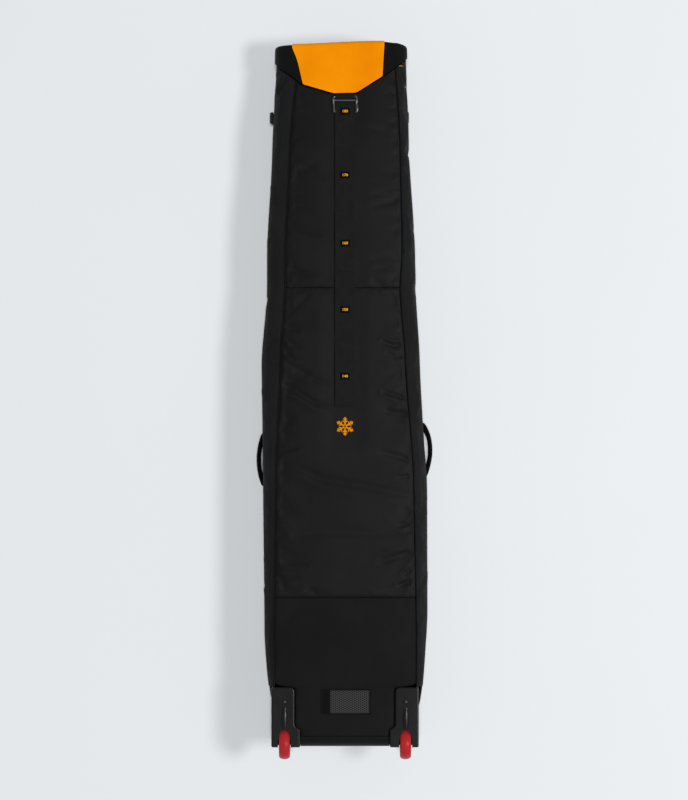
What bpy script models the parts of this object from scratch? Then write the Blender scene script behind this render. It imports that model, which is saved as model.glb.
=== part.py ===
"""Wheeled snowboard bag lying on its front panel, back and wheels uppermost.

X is the bag's width, Y its length (rolled top end at +Y, wheels at -Y), Z up.
The origin is on the floor under the middle of the bag.
"""
import math

import bmesh
import bpy
from mathutils import Vector

# ---- driving dimensions, metres ----
TOP_Y = 0.906
BASE_Y = -0.884
# distance along, left edge, right edge, left seam, right seam, height of the back
SECTIONS = (
    (0.906, 0.175, 0.155, 0.120, 0.129, 0.160),
    (0.640, 0.187, 0.163, 0.141, 0.143, 0.192),
    (0.385, 0.200, 0.178, 0.153, 0.148, 0.205),
    (0.285, 0.200, 0.180, 0.153, 0.142, 0.208),
    (0.100, 0.214, 0.190, 0.165, 0.156, 0.215),
    (-0.200, 0.210, 0.205, 0.177, 0.177, 0.221),
    (-0.600, 0.206, 0.206, 0.182, 0.184, 0.226),
    (-0.884, 0.184, 0.187, 0.180, 0.183, 0.228),
)
BACK_CROWN = 0.006
SEAM_UPPER_Y = 0.289
SEAM_LOWER_Y = -0.502
SEAM_BASE_Y = -0.857
SEAM_GAP = 0.0008
BACK_PAD = 0.009
GUSSET_SHEET = 0.005
END_SHEET = 0.006
PIPING_R = 0.0024
PIPING_CLEAR = 0.0030
PIPING_START_Y = 0.895
RIM_ROUND = 0.030
HINGE_X = -0.128
ZIP_TOP_X = 0.102
ZIP_BASE_X = 0.136
ZIP_ROOM = 0.0100
LID_GAP = 0.0010
LID_UNDER = 0.0010
LID_PAD = 0.010
ZIP_CHAIN_W = 0.0050
ZIP_CHAIN_Z = (0.0062, 0.0078)

WHEEL_X = 0.1545
AXLE_Y = -0.877
AXLE_Z = 0.212
WHEEL_R = 0.040
WHEEL_W = 0.028
TYRE_IN_R = 0.0270
HUB_BORE_R = 0.0110
BEARING_BORE_R = 0.00405
AXLE_R = 0.0040
HOUSING_IN_X = 0.128
HOUSING_FLARE_X = 0.114
HOUSING_OUT_X = 0.188
HOUSING_TOP_Y = -0.7335
HOUSING_FLOOR_Z = 0.128
HOUSING_BACK_Z = 0.240
SLOT_W = 0.033
SLOT_R = 0.0455
SCREW_Y = -0.768
SCREW_HOLE_R = 0.0030
RIDGE_HALF = 0.010
RIDGE_Y = (-0.845, -0.786)
RIDGE_Z = (0.225, 0.2445)
FABRIC_CLEAR = 0.0008

CHAIN_W = 0.0497
CHAIN_T = 0.0015
CHAIN_TOP_Y = 0.7665
CHAIN_END_Y = -0.018
CHAIN_STITCHES = (0.669, 0.501, 0.329, 0.157)
CHAIN_LIFT = 0.0040
TAG_Y = (0.741, 0.5765, 0.402, 0.232, 0.062)
TAG_NAMES = ("180", "170", "160", "150", "140")
TAG_SIZE = (0.024, 0.017, 0.0010)

FLAP_CLEAR = 0.0045
FLAP_LINING = 0.0025
FLAP_COVER = 0.0020
FLAP_LIP = 0.030
FLAP_HINGE_Z = 0.100
FLAP_EDGE = (
    (-0.190, 0.852), (-0.115, 0.812), (-0.038, 0.7875), (0.030, 0.789), (0.098, 0.8325), (0.160, 0.866),
)
HOOK_BAR_Y = 0.7785
HOOK_BAR_UP = 0.0054
HOOK_CROSS_Y = 0.7700
HOOK_LIP_Y = 0.7365
HOOK_HALF = 0.0320
HOOK_WIRE_R = 0.0026
STRAP_TOP_Y = 0.7990
STRAP_BEND_Y = 0.7866
STRAP_W = 0.0470
STRAP_T = 0.0014

HANDLE_Z = 0.112
HANDLE_T = 0.006

collection = None


def start_scene():
    """Clear the scene and open the bag's own collections."""
    global collection
    for old in list(bpy.data.objects):
        bpy.data.objects.remove(old)
    collection = bpy.data.collections.new("snowboard_bag")
    bpy.context.scene.collection.children.link(collection)
    tools = bpy.data.collections.new("cutting_tools")
    bpy.context.scene.collection.children.link(tools)
    return tools


def material(name, color, roughness, metallic=0.0):
    """Principled material with one colour."""
    made = bpy.data.materials.new(name)
    made.use_nodes = True
    shader = made.node_tree.nodes["Principled BSDF"]
    shader.inputs["Base Color"].default_value = (*color, 1.0)
    shader.inputs["Roughness"].default_value = roughness
    shader.inputs["Metallic"].default_value = metallic
    made.diffuse_color = (*color, 1.0)
    return made


def make_object(name, verts, faces, mat, origin=(0.0, 0.0, 0.0)):
    """Object from world points, its own origin at the given place."""
    mesh = bpy.data.meshes.new(name)
    shift = Vector(origin)
    mesh.from_pydata([Vector(v) - shift for v in verts], [], faces)
    shell = bmesh.new()
    shell.from_mesh(mesh)
    bmesh.ops.recalc_face_normals(shell, faces=shell.faces)
    shell.to_mesh(mesh)
    shell.free()
    obj = bpy.data.objects.new(name, mesh)
    obj.location = shift
    if mat is not None:
        mesh.materials.append(mat)
    collection.objects.link(obj)
    return obj


def sheet(name, outer, inner, mat, origin=(0.0, 0.0, 0.0)):
    """Closed sheet between two matching grids of points."""
    rows = len(outer)
    cols = len(outer[0])
    half = rows * cols
    verts = [p for row in outer for p in row] + [p for row in inner for p in row]
    faces = []
    for r in range(rows - 1):
        for c in range(cols - 1):
            a = r * cols + c
            b = a + cols
            faces.append((a, a + 1, b + 1, b))
            faces.append((half + a, half + b, half + b + 1, half + a + 1))
        for c in (0, cols - 1):
            a = r * cols + c
            faces.append((a, a + cols, half + a + cols, half + a))
    for r in (0, rows - 1):
        for c in range(cols - 1):
            a = r * cols + c
            faces.append((a, half + a, half + a + 1, a + 1))
    obj = make_object(name, verts, faces, mat, origin)
    for face in obj.data.polygons:
        face.use_smooth = True
    obj.data.set_sharp_from_angle(angle=math.radians(50))
    return obj


def plate(name, outline, z_low, z_high, mat, origin=(0.0, 0.0, 0.0)):
    """Flat outline in X and Y given a thickness in Z."""
    count = len(outline)
    verts = [(x, y, z_low) for x, y in outline] + [(x, y, z_high) for x, y in outline]
    faces = [tuple(range(count)), tuple(range(count, 2 * count))]
    for i in range(count):
        j = (i + 1) % count
        faces.append((i, j, count + j, count + i))
    return make_object(name, verts, faces, mat, origin)


def box(name, low, high, mat, origin=(0.0, 0.0, 0.0)):
    """Plain block between two corners."""
    outline = ((low[0], low[1]), (high[0], low[1]), (high[0], high[1]), (low[0], high[1]))
    return plate(name, outline, low[2], high[2], mat, origin)


def bevel(obj, width, segments=2, angle=40.0):
    """Round the sharp edges of a block."""
    mod = obj.modifiers.new("Bevel", "BEVEL")
    mod.width = width
    mod.segments = segments
    mod.limit_method = "ANGLE"
    mod.angle_limit = math.radians(angle)
    return obj


def lathe(name, profile, closed, steps, mat, place, turn):
    """Turned piece: profile of radius and height, spun about local Z."""
    mesh = bpy.data.meshes.new(name)
    edges = [(i, i + 1) for i in range(len(profile) - 1)]
    if closed:
        edges.append((len(profile) - 1, 0))
    mesh.from_pydata([(r, 0.0, z) for r, z in profile], edges, [])
    obj = bpy.data.objects.new(name, mesh)
    mesh.materials.append(mat)
    obj.location = place
    obj.rotation_euler = turn
    collection.objects.link(obj)
    mod = obj.modifiers.new("Screw", "SCREW")
    mod.angle = 2.0 * math.pi
    mod.steps = steps
    mod.render_steps = steps
    mod.use_merge_vertices = True
    mod.merge_threshold = 0.00005
    mod.use_smooth_shade = True
    return obj


def tube(name, points, radius, mat, origin=(0.0, 0.0, 0.0)):
    """Round bar along a run of points."""
    curve = bpy.data.curves.new(name, "CURVE")
    curve.dimensions = "3D"
    curve.bevel_depth = radius
    curve.bevel_resolution = 2
    curve.use_fill_caps = True
    line = curve.splines.new("POLY")
    line.points.add(len(points) - 1)
    shift = Vector(origin)
    for slot, point in zip(line.points, points):
        slot.co = (*(Vector(point) - shift), 1.0)
    line.use_smooth = True
    obj = bpy.data.objects.new(name, curve)
    obj.location = shift
    curve.materials.append(mat)
    collection.objects.link(obj)
    return obj


def as_mesh(curve):
    """The same bar as a welded mesh, ready to take a boolean."""
    name = curve.name
    place = curve.location.copy()
    view = bpy.context.evaluated_depsgraph_get()
    mesh = bpy.data.meshes.new_from_object(curve.evaluated_get(view))
    bpy.data.objects.remove(curve)
    shell = bmesh.new()
    shell.from_mesh(mesh)
    bmesh.ops.remove_doubles(shell, verts=shell.verts, dist=1e-6)
    bmesh.ops.recalc_face_normals(shell, faces=shell.faces)
    shell.to_mesh(mesh)
    shell.free()
    obj = bpy.data.objects.new(name, mesh)
    obj.location = place
    collection.objects.link(obj)
    return obj


def cut(target, cutter, operation="DIFFERENCE"):
    """Exact boolean with a hidden tool."""
    if cutter.name not in tools.objects:
        collection.objects.unlink(cutter)
        tools.objects.link(cutter)
        cutter.hide_render = True
        cutter.display_type = "WIRE"
    mod = target.modifiers.new("Cut", "BOOLEAN")
    mod.operation = operation
    mod.solver = "EXACT"
    mod.object = cutter


# ---- the bag's own surface ----
def spread(y):
    """Left edge, right edge, left seam, right seam and height at one distance along."""
    if y >= SECTIONS[0][0]:
        return SECTIONS[0][1:]
    for upper, lower in zip(SECTIONS, SECTIONS[1:]):
        if y >= lower[0]:
            t = (upper[0] - y) / (upper[0] - lower[0])
            t = 0.5 * t + 0.5 * t * t * (3.0 - 2.0 * t)
            return tuple(a + (b - a) * t for a, b in zip(upper[1:], lower[1:]))
    return SECTIONS[-1][1:]


def back_height(x, y):
    """Height of the padded back between its seams."""
    sections = spread(y)
    seam = sections[2] if x < 0.0 else sections[3]
    ratio = min(1.0, abs(x) / seam)
    return sections[4] + BACK_CROWN * (1.0 - ratio * ratio)


def bezier(a, b, c, d, t):
    """Point of a cubic curve."""
    s = 1.0 - t
    share = (s ** 3, 3 * s * s * t, 3 * s * t * t, t ** 3)
    return tuple(sum(k * v for k, v in zip(share, values)) for values in zip(a, b, c, d))


def rim_x(y, side):
    """Inner edge of the front rim: straight hinge line on the left, straight zip line on the right."""
    if side < 0:
        return -HINGE_X
    t = (TOP_Y - y) / (TOP_Y - BASE_Y)
    return ZIP_TOP_X + (ZIP_BASE_X - ZIP_TOP_X) * t + ZIP_ROOM * 0.5


def side_profile(y, side, steps=6):
    """Half widths and heights down one side, from the back seam round to the front rim."""
    left_edge, right_edge, left_seam, right_seam, height = spread(y)
    edge = left_edge if side < 0 else right_edge
    seam = (left_seam if side < 0 else right_seam) + PIPING_CLEAR
    top = (seam, height - 0.001)
    belly = (edge, 0.5 * height)
    foot = (edge - RIM_ROUND, 0.0)
    points = []
    for i in range(steps):
        shoulder = (seam + 0.6 * (edge - seam), height - 0.006)
        points.append(bezier(top, shoulder, (edge, 0.80 * height), belly, i / steps))
    for i in range(steps + 1):
        points.append(bezier(belly, (edge, 0.22 * height), (edge - 0.1 * RIM_ROUND, 0.0), foot, i / steps))
    points.append((rim_x(y, side), 0.0))
    return points


def offset(points, distance):
    """The same run of points moved towards the inside of the bag."""
    moved = []
    for i, point in enumerate(points):
        before = points[max(0, i - 1)]
        after = points[min(len(points) - 1, i + 1)]
        dx = after[0] - before[0]
        dz = after[1] - before[1]
        size = math.hypot(dx, dz)
        moved.append((point[0] + dz / size * distance, point[1] - dx / size * distance))
    moved[-1] = (points[-1][0], points[-1][1] + distance)
    moved[-2] = (points[-2][0], points[-2][1] + distance)
    return moved


def stations(start, end, count):
    """Evenly spaced distances along the bag."""
    return [start + (end - start) * i / (count - 1) for i in range(count)]


# ---- fabric shell ----
def build_gusset(name, side, mat):
    """Side wall from the back seam to the front rim."""
    outer = []
    inner = []
    for y in stations(TOP_Y - END_SHEET - SEAM_GAP, BASE_Y + END_SHEET + SEAM_GAP, 25):
        line = side_profile(y, side)
        outer.append([(side * x, y, z) for x, z in line])
        inner.append([(side * x, y, z) for x, z in offset(line, GUSSET_SHEET)])
    return sheet(name, outer, inner, mat)


def build_back(name, y_start, y_end, rows, mat):
    """One padded piece of the back."""
    outer = []
    inner = []
    for y in stations(y_start, y_end, rows):
        left = -spread(y)[2] + PIPING_CLEAR
        right = spread(y)[3] - PIPING_CLEAR
        xs = [left + (right - left) * i / 8 for i in range(9)]
        outer.append([(x, y, back_height(x, y)) for x in xs])
        inner.append([(x, y, back_height(x, y) - BACK_PAD) for x in xs])
    return sheet(name, outer, inner, mat)


def end_outline(y, drop):
    """Whole outline of one cross-section, counter-clockwise seen from the top end, moved inwards."""
    left = offset(side_profile(y, -1), drop)
    right = offset(side_profile(y, 1), drop)
    height = spread(y)[4] - drop
    ring = [(-x, z) for x, z in left]
    ring += [(x, z) for x, z in reversed(right)]
    ring += [(0.5 * right[0][0], height + 0.75 * BACK_CROWN), (0.0, height + BACK_CROWN)]
    ring.append((-0.5 * left[0][0], height + 0.75 * BACK_CROWN))
    return ring


def build_top_end(mat):
    """Wall that closes the top end under the flap."""
    ring = end_outline(TOP_Y, 0.0)
    count = len(ring)
    verts = [(x, TOP_Y, z) for x, z in ring] + [(x, TOP_Y - END_SHEET, z) for x, z in ring]
    faces = [tuple(range(count)), tuple(range(count, 2 * count))]
    for i in range(count):
        j = (i + 1) % count
        faces.append((i, j, count + j, count + i))
    return make_object("end_panel_top", verts, faces, mat)


def build_base_end(mat):
    """Wheel-end wall, turned over onto the back as far as the base seam."""
    height = spread(BASE_Y)[4]
    turn = SEAM_BASE_Y - BASE_Y
    path = [(SEAM_BASE_Y - SEAM_GAP, height, 0.0, 1.0)]
    for i in range(1, 5):
        angle = math.radians(22.5 * i)
        y = SEAM_BASE_Y - turn * math.sin(angle)
        path.append((y, height - turn * (1.0 - math.cos(angle)), -math.sin(angle), math.cos(angle)))
    for z in (0.16, 0.11, 0.06, 0.030, 0.015, 0.0):
        path.append((BASE_Y, z, -1.0, 0.0))
    outer = []
    inner = []
    for y, z, ny, nz in path:
        widths = [half_width_at(z, -1), half_width_at(z, 1)]
        xs = [-widths[0] + (widths[0] + widths[1]) * i / 10 for i in range(11)]
        crowns = [BACK_CROWN * nz * (1.0 - min(1.0, abs(x) / 0.18) ** 2) for x in xs]
        outer.append([(x, y, z + c) for x, c in zip(xs, crowns)])
        inner.append([(x, y - ny * END_SHEET, z + c - nz * END_SHEET) for x, c in zip(xs, crowns)])
    return sheet("end_panel_base", outer, inner, mat)


def half_width_at(z, side):
    """Half width of the wheel-end section at one height."""
    line = side_profile(BASE_Y, side, 8)[:-1]
    for high, low in zip(line, line[1:]):
        if high[1] >= z >= low[1]:
            t = (high[1] - z) / max(1e-9, high[1] - low[1])
            return high[0] + (low[0] - high[0]) * t
    return line[0][0]


def build_piping(name, side, mat):
    """Corded seam along one edge of the back."""
    points = []
    for y in stations(PIPING_START_Y, HOUSING_TOP_Y + 0.004, 25):
        sections = spread(y)
        seam = sections[2] if side < 0 else sections[3]
        points.append((side * seam, y, sections[4] + 0.0005))
    return tube(name, points, PIPING_R, mat)


def zip_line(y):
    """Across-bag position of the zip's middle."""
    return rim_x(y, 1) - ZIP_ROOM * 0.5


def build_front(mat):
    """Padded front panel, the lid of the bag."""
    top = TOP_Y - END_SHEET - 0.006
    base = BASE_Y + END_SHEET + 0.006
    left = HINGE_X + LID_GAP
    gap = ZIP_ROOM * 0.5
    outline = ((left, base), (zip_line(base) - gap, base), (zip_line(top) - gap, top), (left, top))
    origin = (HINGE_X, 0.0, LID_UNDER)
    lid = plate("front_panel", outline, LID_UNDER, LID_UNDER + LID_PAD, mat, origin)
    return bevel(lid, 0.0015, 1)


def build_zip(mat_chain, mat_metal, mat_pull):
    """Zip chain along the right of the front panel, with its slider and pull."""
    top = TOP_Y - END_SHEET - 0.008
    base = BASE_Y + END_SHEET + 0.008
    half = ZIP_CHAIN_W * 0.5
    outline = ((zip_line(base) - half, base), (zip_line(base) + half, base))
    outline += ((zip_line(top) + half, top), (zip_line(top) - half, top))
    plate("zip_chain", outline, ZIP_CHAIN_Z[0], ZIP_CHAIN_Z[1], mat_chain)
    start = 0.86
    slope = (zip_line(base) - zip_line(top)) / (base - top)
    turn = -math.atan(slope)
    place = Vector((zip_line(start), start, 0.5 * (ZIP_CHAIN_Z[0] + ZIP_CHAIN_Z[1])))
    slider = box("zip_slider", (-0.0041, -0.007, -0.0026), (0.0041, 0.007, 0.0026), mat_metal)
    slot = box("slider_slot", (-0.0029, -0.012, -0.0012), (0.0029, 0.012, 0.0012), None)
    slot.location = place
    slot.rotation_euler = (0.0, 0.0, turn)
    slider.location = place
    slider.rotation_euler = (0.0, 0.0, turn)
    cut(slider, slot)
    pull = box("zip_pull", (-0.0032, -0.030, -0.0008), (0.0032, 0.0, 0.0008), mat_pull)
    pull.location = place + Vector((0.0, 0.0, -0.0040))
    pull.rotation_euler = (0.0, 0.0, turn)
    bevel(pull, 0.0004, 1)


# ---- wheels and their housings ----
def housing_outline(side, grow):
    """Plan of one corner housing, flared at the wheel end."""
    points = (
        (HOUSING_IN_X - grow, HOUSING_TOP_Y - 0.012),
        (HOUSING_IN_X + 0.004 - grow, HOUSING_TOP_Y - 0.003 + grow),
        (HOUSING_IN_X + 0.014, HOUSING_TOP_Y + grow),
        (HOUSING_OUT_X + grow, HOUSING_TOP_Y + grow),
        (HOUSING_OUT_X + grow, BASE_Y - grow),
        (HOUSING_FLARE_X - grow, BASE_Y - grow),
        (HOUSING_FLARE_X - grow, -0.846),
        (HOUSING_IN_X - 0.004 - grow, -0.836),
        (HOUSING_IN_X - grow, -0.824),
    )
    return [(side * x, y) for x, y in points]


def build_housing(name, side, mat):
    """Moulded corner with the wheel's slot, hollow on the bag's side."""
    body = plate(name, housing_outline(side, 0.0), HOUSING_FLOOR_Z, HOUSING_BACK_Z, mat)
    bevel(body, 0.005, 2, 60.0)
    ridge_low = (side * WHEEL_X - RIDGE_HALF, RIDGE_Y[0], RIDGE_Z[0])
    ridge_high = (side * WHEEL_X + RIDGE_HALF, RIDGE_Y[1], RIDGE_Z[1])
    ridge = box(name + "_ridge", ridge_low, ridge_high, None)
    bevel(ridge, 0.004, 2)
    cut(body, ridge, "UNION")
    low_x = min(side * (HOUSING_IN_X + 0.004), side * (HOUSING_OUT_X - 0.004))
    high_x = max(side * (HOUSING_IN_X + 0.004), side * (HOUSING_OUT_X - 0.004))
    hollow = box(name + "_hollow", (low_x, -0.822, 0.10), (high_x, HOUSING_TOP_Y - 0.004, 0.236), None)
    cut(body, hollow)
    under = box(name + "_under", (low_x, BASE_Y + 0.004, 0.10), (high_x, -0.81, 0.161), None)
    cut(body, under)
    slot = round_tool(name + "_slot", SLOT_R, SLOT_W, side * WHEEL_X)
    cut(body, slot)
    bore = round_tool(name + "_bore", AXLE_R + 0.0003, 0.2, side * WHEEL_X)
    cut(body, bore)
    hole = screw_hole(name + "_screw_hole", side)
    cut(body, hole)
    return body


def circle(radius, steps):
    """Points round a circle."""
    angles = [2 * math.pi * i / steps for i in range(steps)]
    return [(math.cos(a) * radius, math.sin(a) * radius) for a in angles]


def round_tool(name, radius, width, x):
    """Cylinder across the bag on the axle line."""
    steps = 48
    ring = circle(radius, steps)
    verts = [(x - width / 2, AXLE_Y + a, AXLE_Z + b) for a, b in ring]
    verts += [(x + width / 2, AXLE_Y + a, AXLE_Z + b) for a, b in ring]
    faces = [tuple(range(steps)), tuple(range(steps, 2 * steps))]
    for i in range(steps):
        j = (i + 1) % steps
        faces.append((i, j, steps + j, steps + i))
    return make_object(name, verts, faces, None)


def screw_hole(name, side):
    """Tool for the screw's hole through the housing's face."""
    steps = 24
    ring = circle(SCREW_HOLE_R, steps)
    return plate(name, [(side * WHEEL_X + a, SCREW_Y + b) for a, b in ring], 0.230, 0.250, None)


def build_wheel(side, word, mats):
    """Tyre, hub, bearing and axle of one wheel."""
    place = (side * WHEEL_X, AXLE_Y, AXLE_Z)
    turn = (0.0, math.radians(90.0), 0.0)
    half = WHEEL_W / 2
    tyre = (
        (TYRE_IN_R, 0.72 * half), (0.0340, half), (0.0375, 0.84 * half), (0.0394, 0.48 * half),
        (WHEEL_R, 0.0),
        (0.0394, -0.48 * half), (0.0375, -0.84 * half), (0.0340, -half), (TYRE_IN_R, -0.72 * half),
    )
    lathe("wheel_tyre_" + word, tyre, True, 40, mats["red"], place, turn)
    rim = TYRE_IN_R - 0.0003
    hub = (
        (HUB_BORE_R, 0.66 * half), (0.0150, 0.70 * half), (0.0185, 0.36 * half), (0.0228, 0.36 * half),
        (rim, 0.66 * half), (rim, -0.66 * half), (0.0228, -0.36 * half), (0.0185, -0.36 * half),
        (0.0150, -0.70 * half), (HUB_BORE_R, -0.66 * half),
    )
    lathe("wheel_hub_" + word, hub, True, 32, mats["hub"], place, turn)
    outer_r = HUB_BORE_R - 0.0003
    bearing = (
        (BEARING_BORE_R, 0.0110), (outer_r, 0.0090), (outer_r, -0.0090), (BEARING_BORE_R, -0.0110),
    )
    lathe("wheel_bearing_" + word, bearing, True, 24, mats["steel"], place, turn)
    axle_in = HOUSING_IN_X + 0.002
    axle_out = HOUSING_OUT_X - 0.002
    middle = 0.5 * (axle_in + axle_out)
    reach = 0.5 * (axle_out - axle_in)
    axle = ((0.0, reach), (AXLE_R, reach), (AXLE_R, -reach), (0.0, -reach))
    lathe("axle_" + word, axle, False, 24, mats["steel"], (side * middle, AXLE_Y, AXLE_Z), turn)
    head = (
        (0.0, 0.0028), (0.0030, 0.0025), (0.0048, 0.0015), (0.0052, 0.0003),
        (0.0026, 0.0003), (0.0026, -0.0050), (0.0, -0.0050),
    )
    seat = (side * WHEEL_X, SCREW_Y, HOUSING_BACK_Z)
    lathe("housing_screw_" + word, head, False, 24, mats["steel"], seat, (0, 0, 0))


# ---- webbing, tags and emblem ----
def chain_height(y):
    """Underside of the looped webbing: sewn down at its stitches, lifted between them."""
    marks = (CHAIN_TOP_Y,) + CHAIN_STITCHES + (CHAIN_END_Y,)
    lift = 0.0
    for upper, lower in zip(marks, marks[1:]):
        if upper >= y >= lower:
            lift = CHAIN_LIFT * math.sin(math.pi * (upper - y) / (upper - lower)) ** 0.6
    return spread(y)[4] + BACK_CROWN + 0.0006 + lift


def build_chain(mat_web, mat_tag):
    """Webbing sewn down at intervals into hook loops, with its length tags."""
    outer = []
    inner = []
    marks = (CHAIN_TOP_Y,) + CHAIN_STITCHES + (CHAIN_END_Y,)
    rows = []
    for upper, lower in zip(marks, marks[1:]):
        rows += stations(upper, lower, 10)[:-1]
    rows.append(CHAIN_END_Y)
    half = CHAIN_W / 2
    for y in rows:
        low = chain_height(y)
        outer.append([(x, y, low + CHAIN_T) for x in (-half, 0.0, half)])
        inner.append([(x, y, low) for x in (-half, 0.0, half)])
    sheet("hook_loop_webbing", outer, inner, mat_web)
    wide, long, thick = TAG_SIZE
    for word, y in zip(TAG_NAMES, TAG_Y):
        base = max(chain_height(y + d) for d in (-0.008, 0.0, 0.008)) + CHAIN_T + 0.0004
        low = (-wide / 2, y - long / 2, base)
        high = (wide / 2, y + long / 2, base + thick)
        bevel(box("length_tag_" + word, low, high, mat_tag, (0.0, y, base)), 0.0004, 1)


def build_emblem(mat):
    """Six-armed snowflake badge, one flat embroidered piece."""
    centre_y = -0.066
    arm = 0.0250
    outline = []
    for i in range(6):
        angle = math.radians(60.0 * i + 30.0)
        along = Vector((math.cos(angle), math.sin(angle)))
        across = Vector((-along.y, along.x))
        steps = (
            (0.0052, -0.0030), (0.0120, -0.0022), (0.0165, -0.0085), (0.0195, -0.0065), (0.0172, -0.0022),
            (arm, -0.0022), (arm, 0.0022), (0.0172, 0.0022), (0.0195, 0.0065), (0.0165, 0.0085),
            (0.0120, 0.0022), (0.0052, 0.0030),
        )
        for a, b in steps:
            point = along * a + across * b
            outline.append((point.x, centre_y + point.y))
    base = spread(centre_y - arm)[4] + BACK_CROWN + 0.0004
    plate("snowflake_badge", outline, base, base + 0.0012, mat, (0.0, centre_y, base))


def build_window(mat_frame, mat_mesh):
    """Framed mesh window for the owner's card."""
    base = spread(-0.801)[4] + BACK_CROWN + 0.0006
    frame = box("card_window_frame", (-0.061, -0.801, base), (0.066, -0.735, base + 0.0022), mat_frame)
    hole = box("card_window_hole", (-0.038, -0.7975, base - 0.01), (0.0625, -0.7385, base + 0.01), None)
    cut(frame, hole)
    box("card_window_mesh", (-0.0375, -0.7970, base + 0.0002), (0.0620, -0.7390, base + 0.0012), mat_mesh)


# ---- fold-over flap, strap and hook ----
def flap_edge(x):
    """Lower outline of the flap."""
    for a, b in zip(FLAP_EDGE, FLAP_EDGE[1:]):
        if x <= b[0]:
            t = (x - a[0]) / (b[0] - a[0])
            return a[1] + (b[1] - a[1]) * t
    return FLAP_EDGE[-1][1]


def over_bag(y, column):
    """Point and outward direction on the bag's upper surface, columns running left to right."""
    left = side_profile(y, -1, 6)
    right = side_profile(y, 1, 6)
    if column < 4:
        index = 4 - column
        return side_point(left, index, -1)
    if column > 12:
        return side_point(right, column - 12, 1)
    low = -left[0][0]
    high = right[0][0]
    x = low + (high - low) * (column - 4) / 8
    slope = -2.0 * BACK_CROWN * x / (0.13 * 0.13)
    size = math.hypot(slope, 1.0)
    return x, back_height(x, y), -slope / size, 1.0 / size


def side_point(line, index, side):
    """Point and outward direction on one side wall."""
    before = line[index - 1]
    after = line[index + 1]
    dx = after[0] - before[0]
    dz = after[1] - before[1]
    size = math.hypot(dx, dz)
    return side * line[index][0], line[index][1], side * -dz / size, dx / size


def flap_layer(name, first, last, near, far, mat, origin):
    """One layer of the flap over a span of columns, turned down over the top end."""
    outer = []
    inner = []
    grow = 0.0005
    gaps = {4: SEAM_GAP / 2, 11: SEAM_GAP / 2}
    for row in range(10):
        outer_row = []
        inner_row = []
        for column in range(first, last + 1):
            x, z, nx, nz = over_bag(TOP_Y, column)
            aside = gaps.get(column, 0.0) * ((column == first) - (column == last))
            if row < 3:
                drop = FLAP_LIP * (2 - row) / 2
                ny = 1.0 if row < 2 else 0.7
                up = 0.0 if row < 2 else 0.7
                for grid, gap in ((outer_row, far), (inner_row, near)):
                    height = z + nz * gap * up - drop
                    grid.append((x + aside + nx * gap * up, TOP_Y + grow + ny * gap, height))
            else:
                y = TOP_Y - 0.004 - (TOP_Y - 0.004 - flap_edge(x)) * (row - 3) / 6
                x, z, nx, nz = over_bag(y, column)
                outer_row.append((x + aside + nx * far, y, z + nz * far))
                inner_row.append((x + aside + nx * near, y, z + nz * near))
        outer.append(outer_row)
        inner.append(inner_row)
    return sheet(name, outer, inner, mat, origin)


def build_flap(mats):
    """Fold-over flap: lining, two black wings, orange centre panel."""
    origin = (0.0, TOP_Y + 0.006, FLAP_HINGE_Z)
    cover_near = FLAP_CLEAR + FLAP_LINING + 0.0004
    cover_far = cover_near + FLAP_COVER
    flap_layer("flap_lining", 1, 15, FLAP_CLEAR, FLAP_CLEAR + FLAP_LINING, mats["lining"], origin)
    flap_layer("flap_wing_left", 1, 4, cover_near, cover_far, mats["fabric"], origin)
    flap_layer("flap_wing_right", 11, 15, cover_near, cover_far, mats["fabric"], origin)
    flap_layer("flap_orange_panel", 4, 11, cover_near, cover_far + 0.0008, mats["orange"], origin)


def hook_bar_height():
    """Height of the hook's cross bar above the floor."""
    return back_height(0.0, HOOK_BAR_Y) + HOOK_BAR_UP


def build_strap(mat):
    """Strap from the flap's underside, folded round the hook's cross bar."""
    low = back_height(0.0, STRAP_TOP_Y) + 0.0008
    bend = back_height(0.0, STRAP_BEND_Y) + 0.0008
    bar = hook_bar_height()
    near = HOOK_WIRE_R + 0.0004
    far = near + STRAP_T
    path_out = [(STRAP_TOP_Y, low + STRAP_T), (STRAP_BEND_Y, bend + STRAP_T)]
    path_in = [(STRAP_TOP_Y, low), (STRAP_BEND_Y, bend)]
    for i in range(9):
        angle = math.radians(50.0 + 27.5 * i)
        along = math.cos(angle)
        up = math.sin(angle)
        path_out.append((HOOK_BAR_Y + far * along, bar + far * up))
        path_in.append((HOOK_BAR_Y + near * along, bar + near * up))
    half = STRAP_W / 2
    outer = [[(x, y, z) for x in (-half, half)] for y, z in path_out]
    inner = [[(x, y, z) for x in (-half, half)] for y, z in path_in]
    return sheet("closure_strap", outer, inner, mat)


def build_hook(mat):
    """Open wire hook: strap bar, cross bar, two arms and short turned-in lips."""
    bar = hook_bar_height()
    low = back_height(0.0, HOOK_LIP_Y) + HOOK_WIRE_R + 0.0008
    half = HOOK_HALF
    lip = CHAIN_W / 2 + HOOK_WIRE_R + 0.0006
    right = [
        (half - 0.004, HOOK_BAR_Y, bar), (half - 0.001, HOOK_BAR_Y - 0.001, bar),
        (half, HOOK_BAR_Y - 0.004, bar), (half, HOOK_BAR_Y - 0.026, low),
        (half - 0.001, HOOK_LIP_Y + 0.001, low), (lip, HOOK_LIP_Y, low),
    ]
    left = [(-x, y, z) for x, y, z in right]
    hook = as_mesh(tube("closure_hook", list(reversed(left)) + right, HOOK_WIRE_R, mat, (0.0, HOOK_BAR_Y, bar)))
    share = (HOOK_BAR_Y - 0.004 - HOOK_CROSS_Y) / 0.022
    height = bar + (low - bar) * share
    ends = [(-half, HOOK_CROSS_Y, height), (half, HOOK_CROSS_Y, height)]
    cross = as_mesh(tube("closure_hook_cross", ends, 0.96 * HOOK_WIRE_R, mat, (0.0, HOOK_BAR_Y, bar)))
    cut(hook, cross, "UNION")
    return hook


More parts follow.
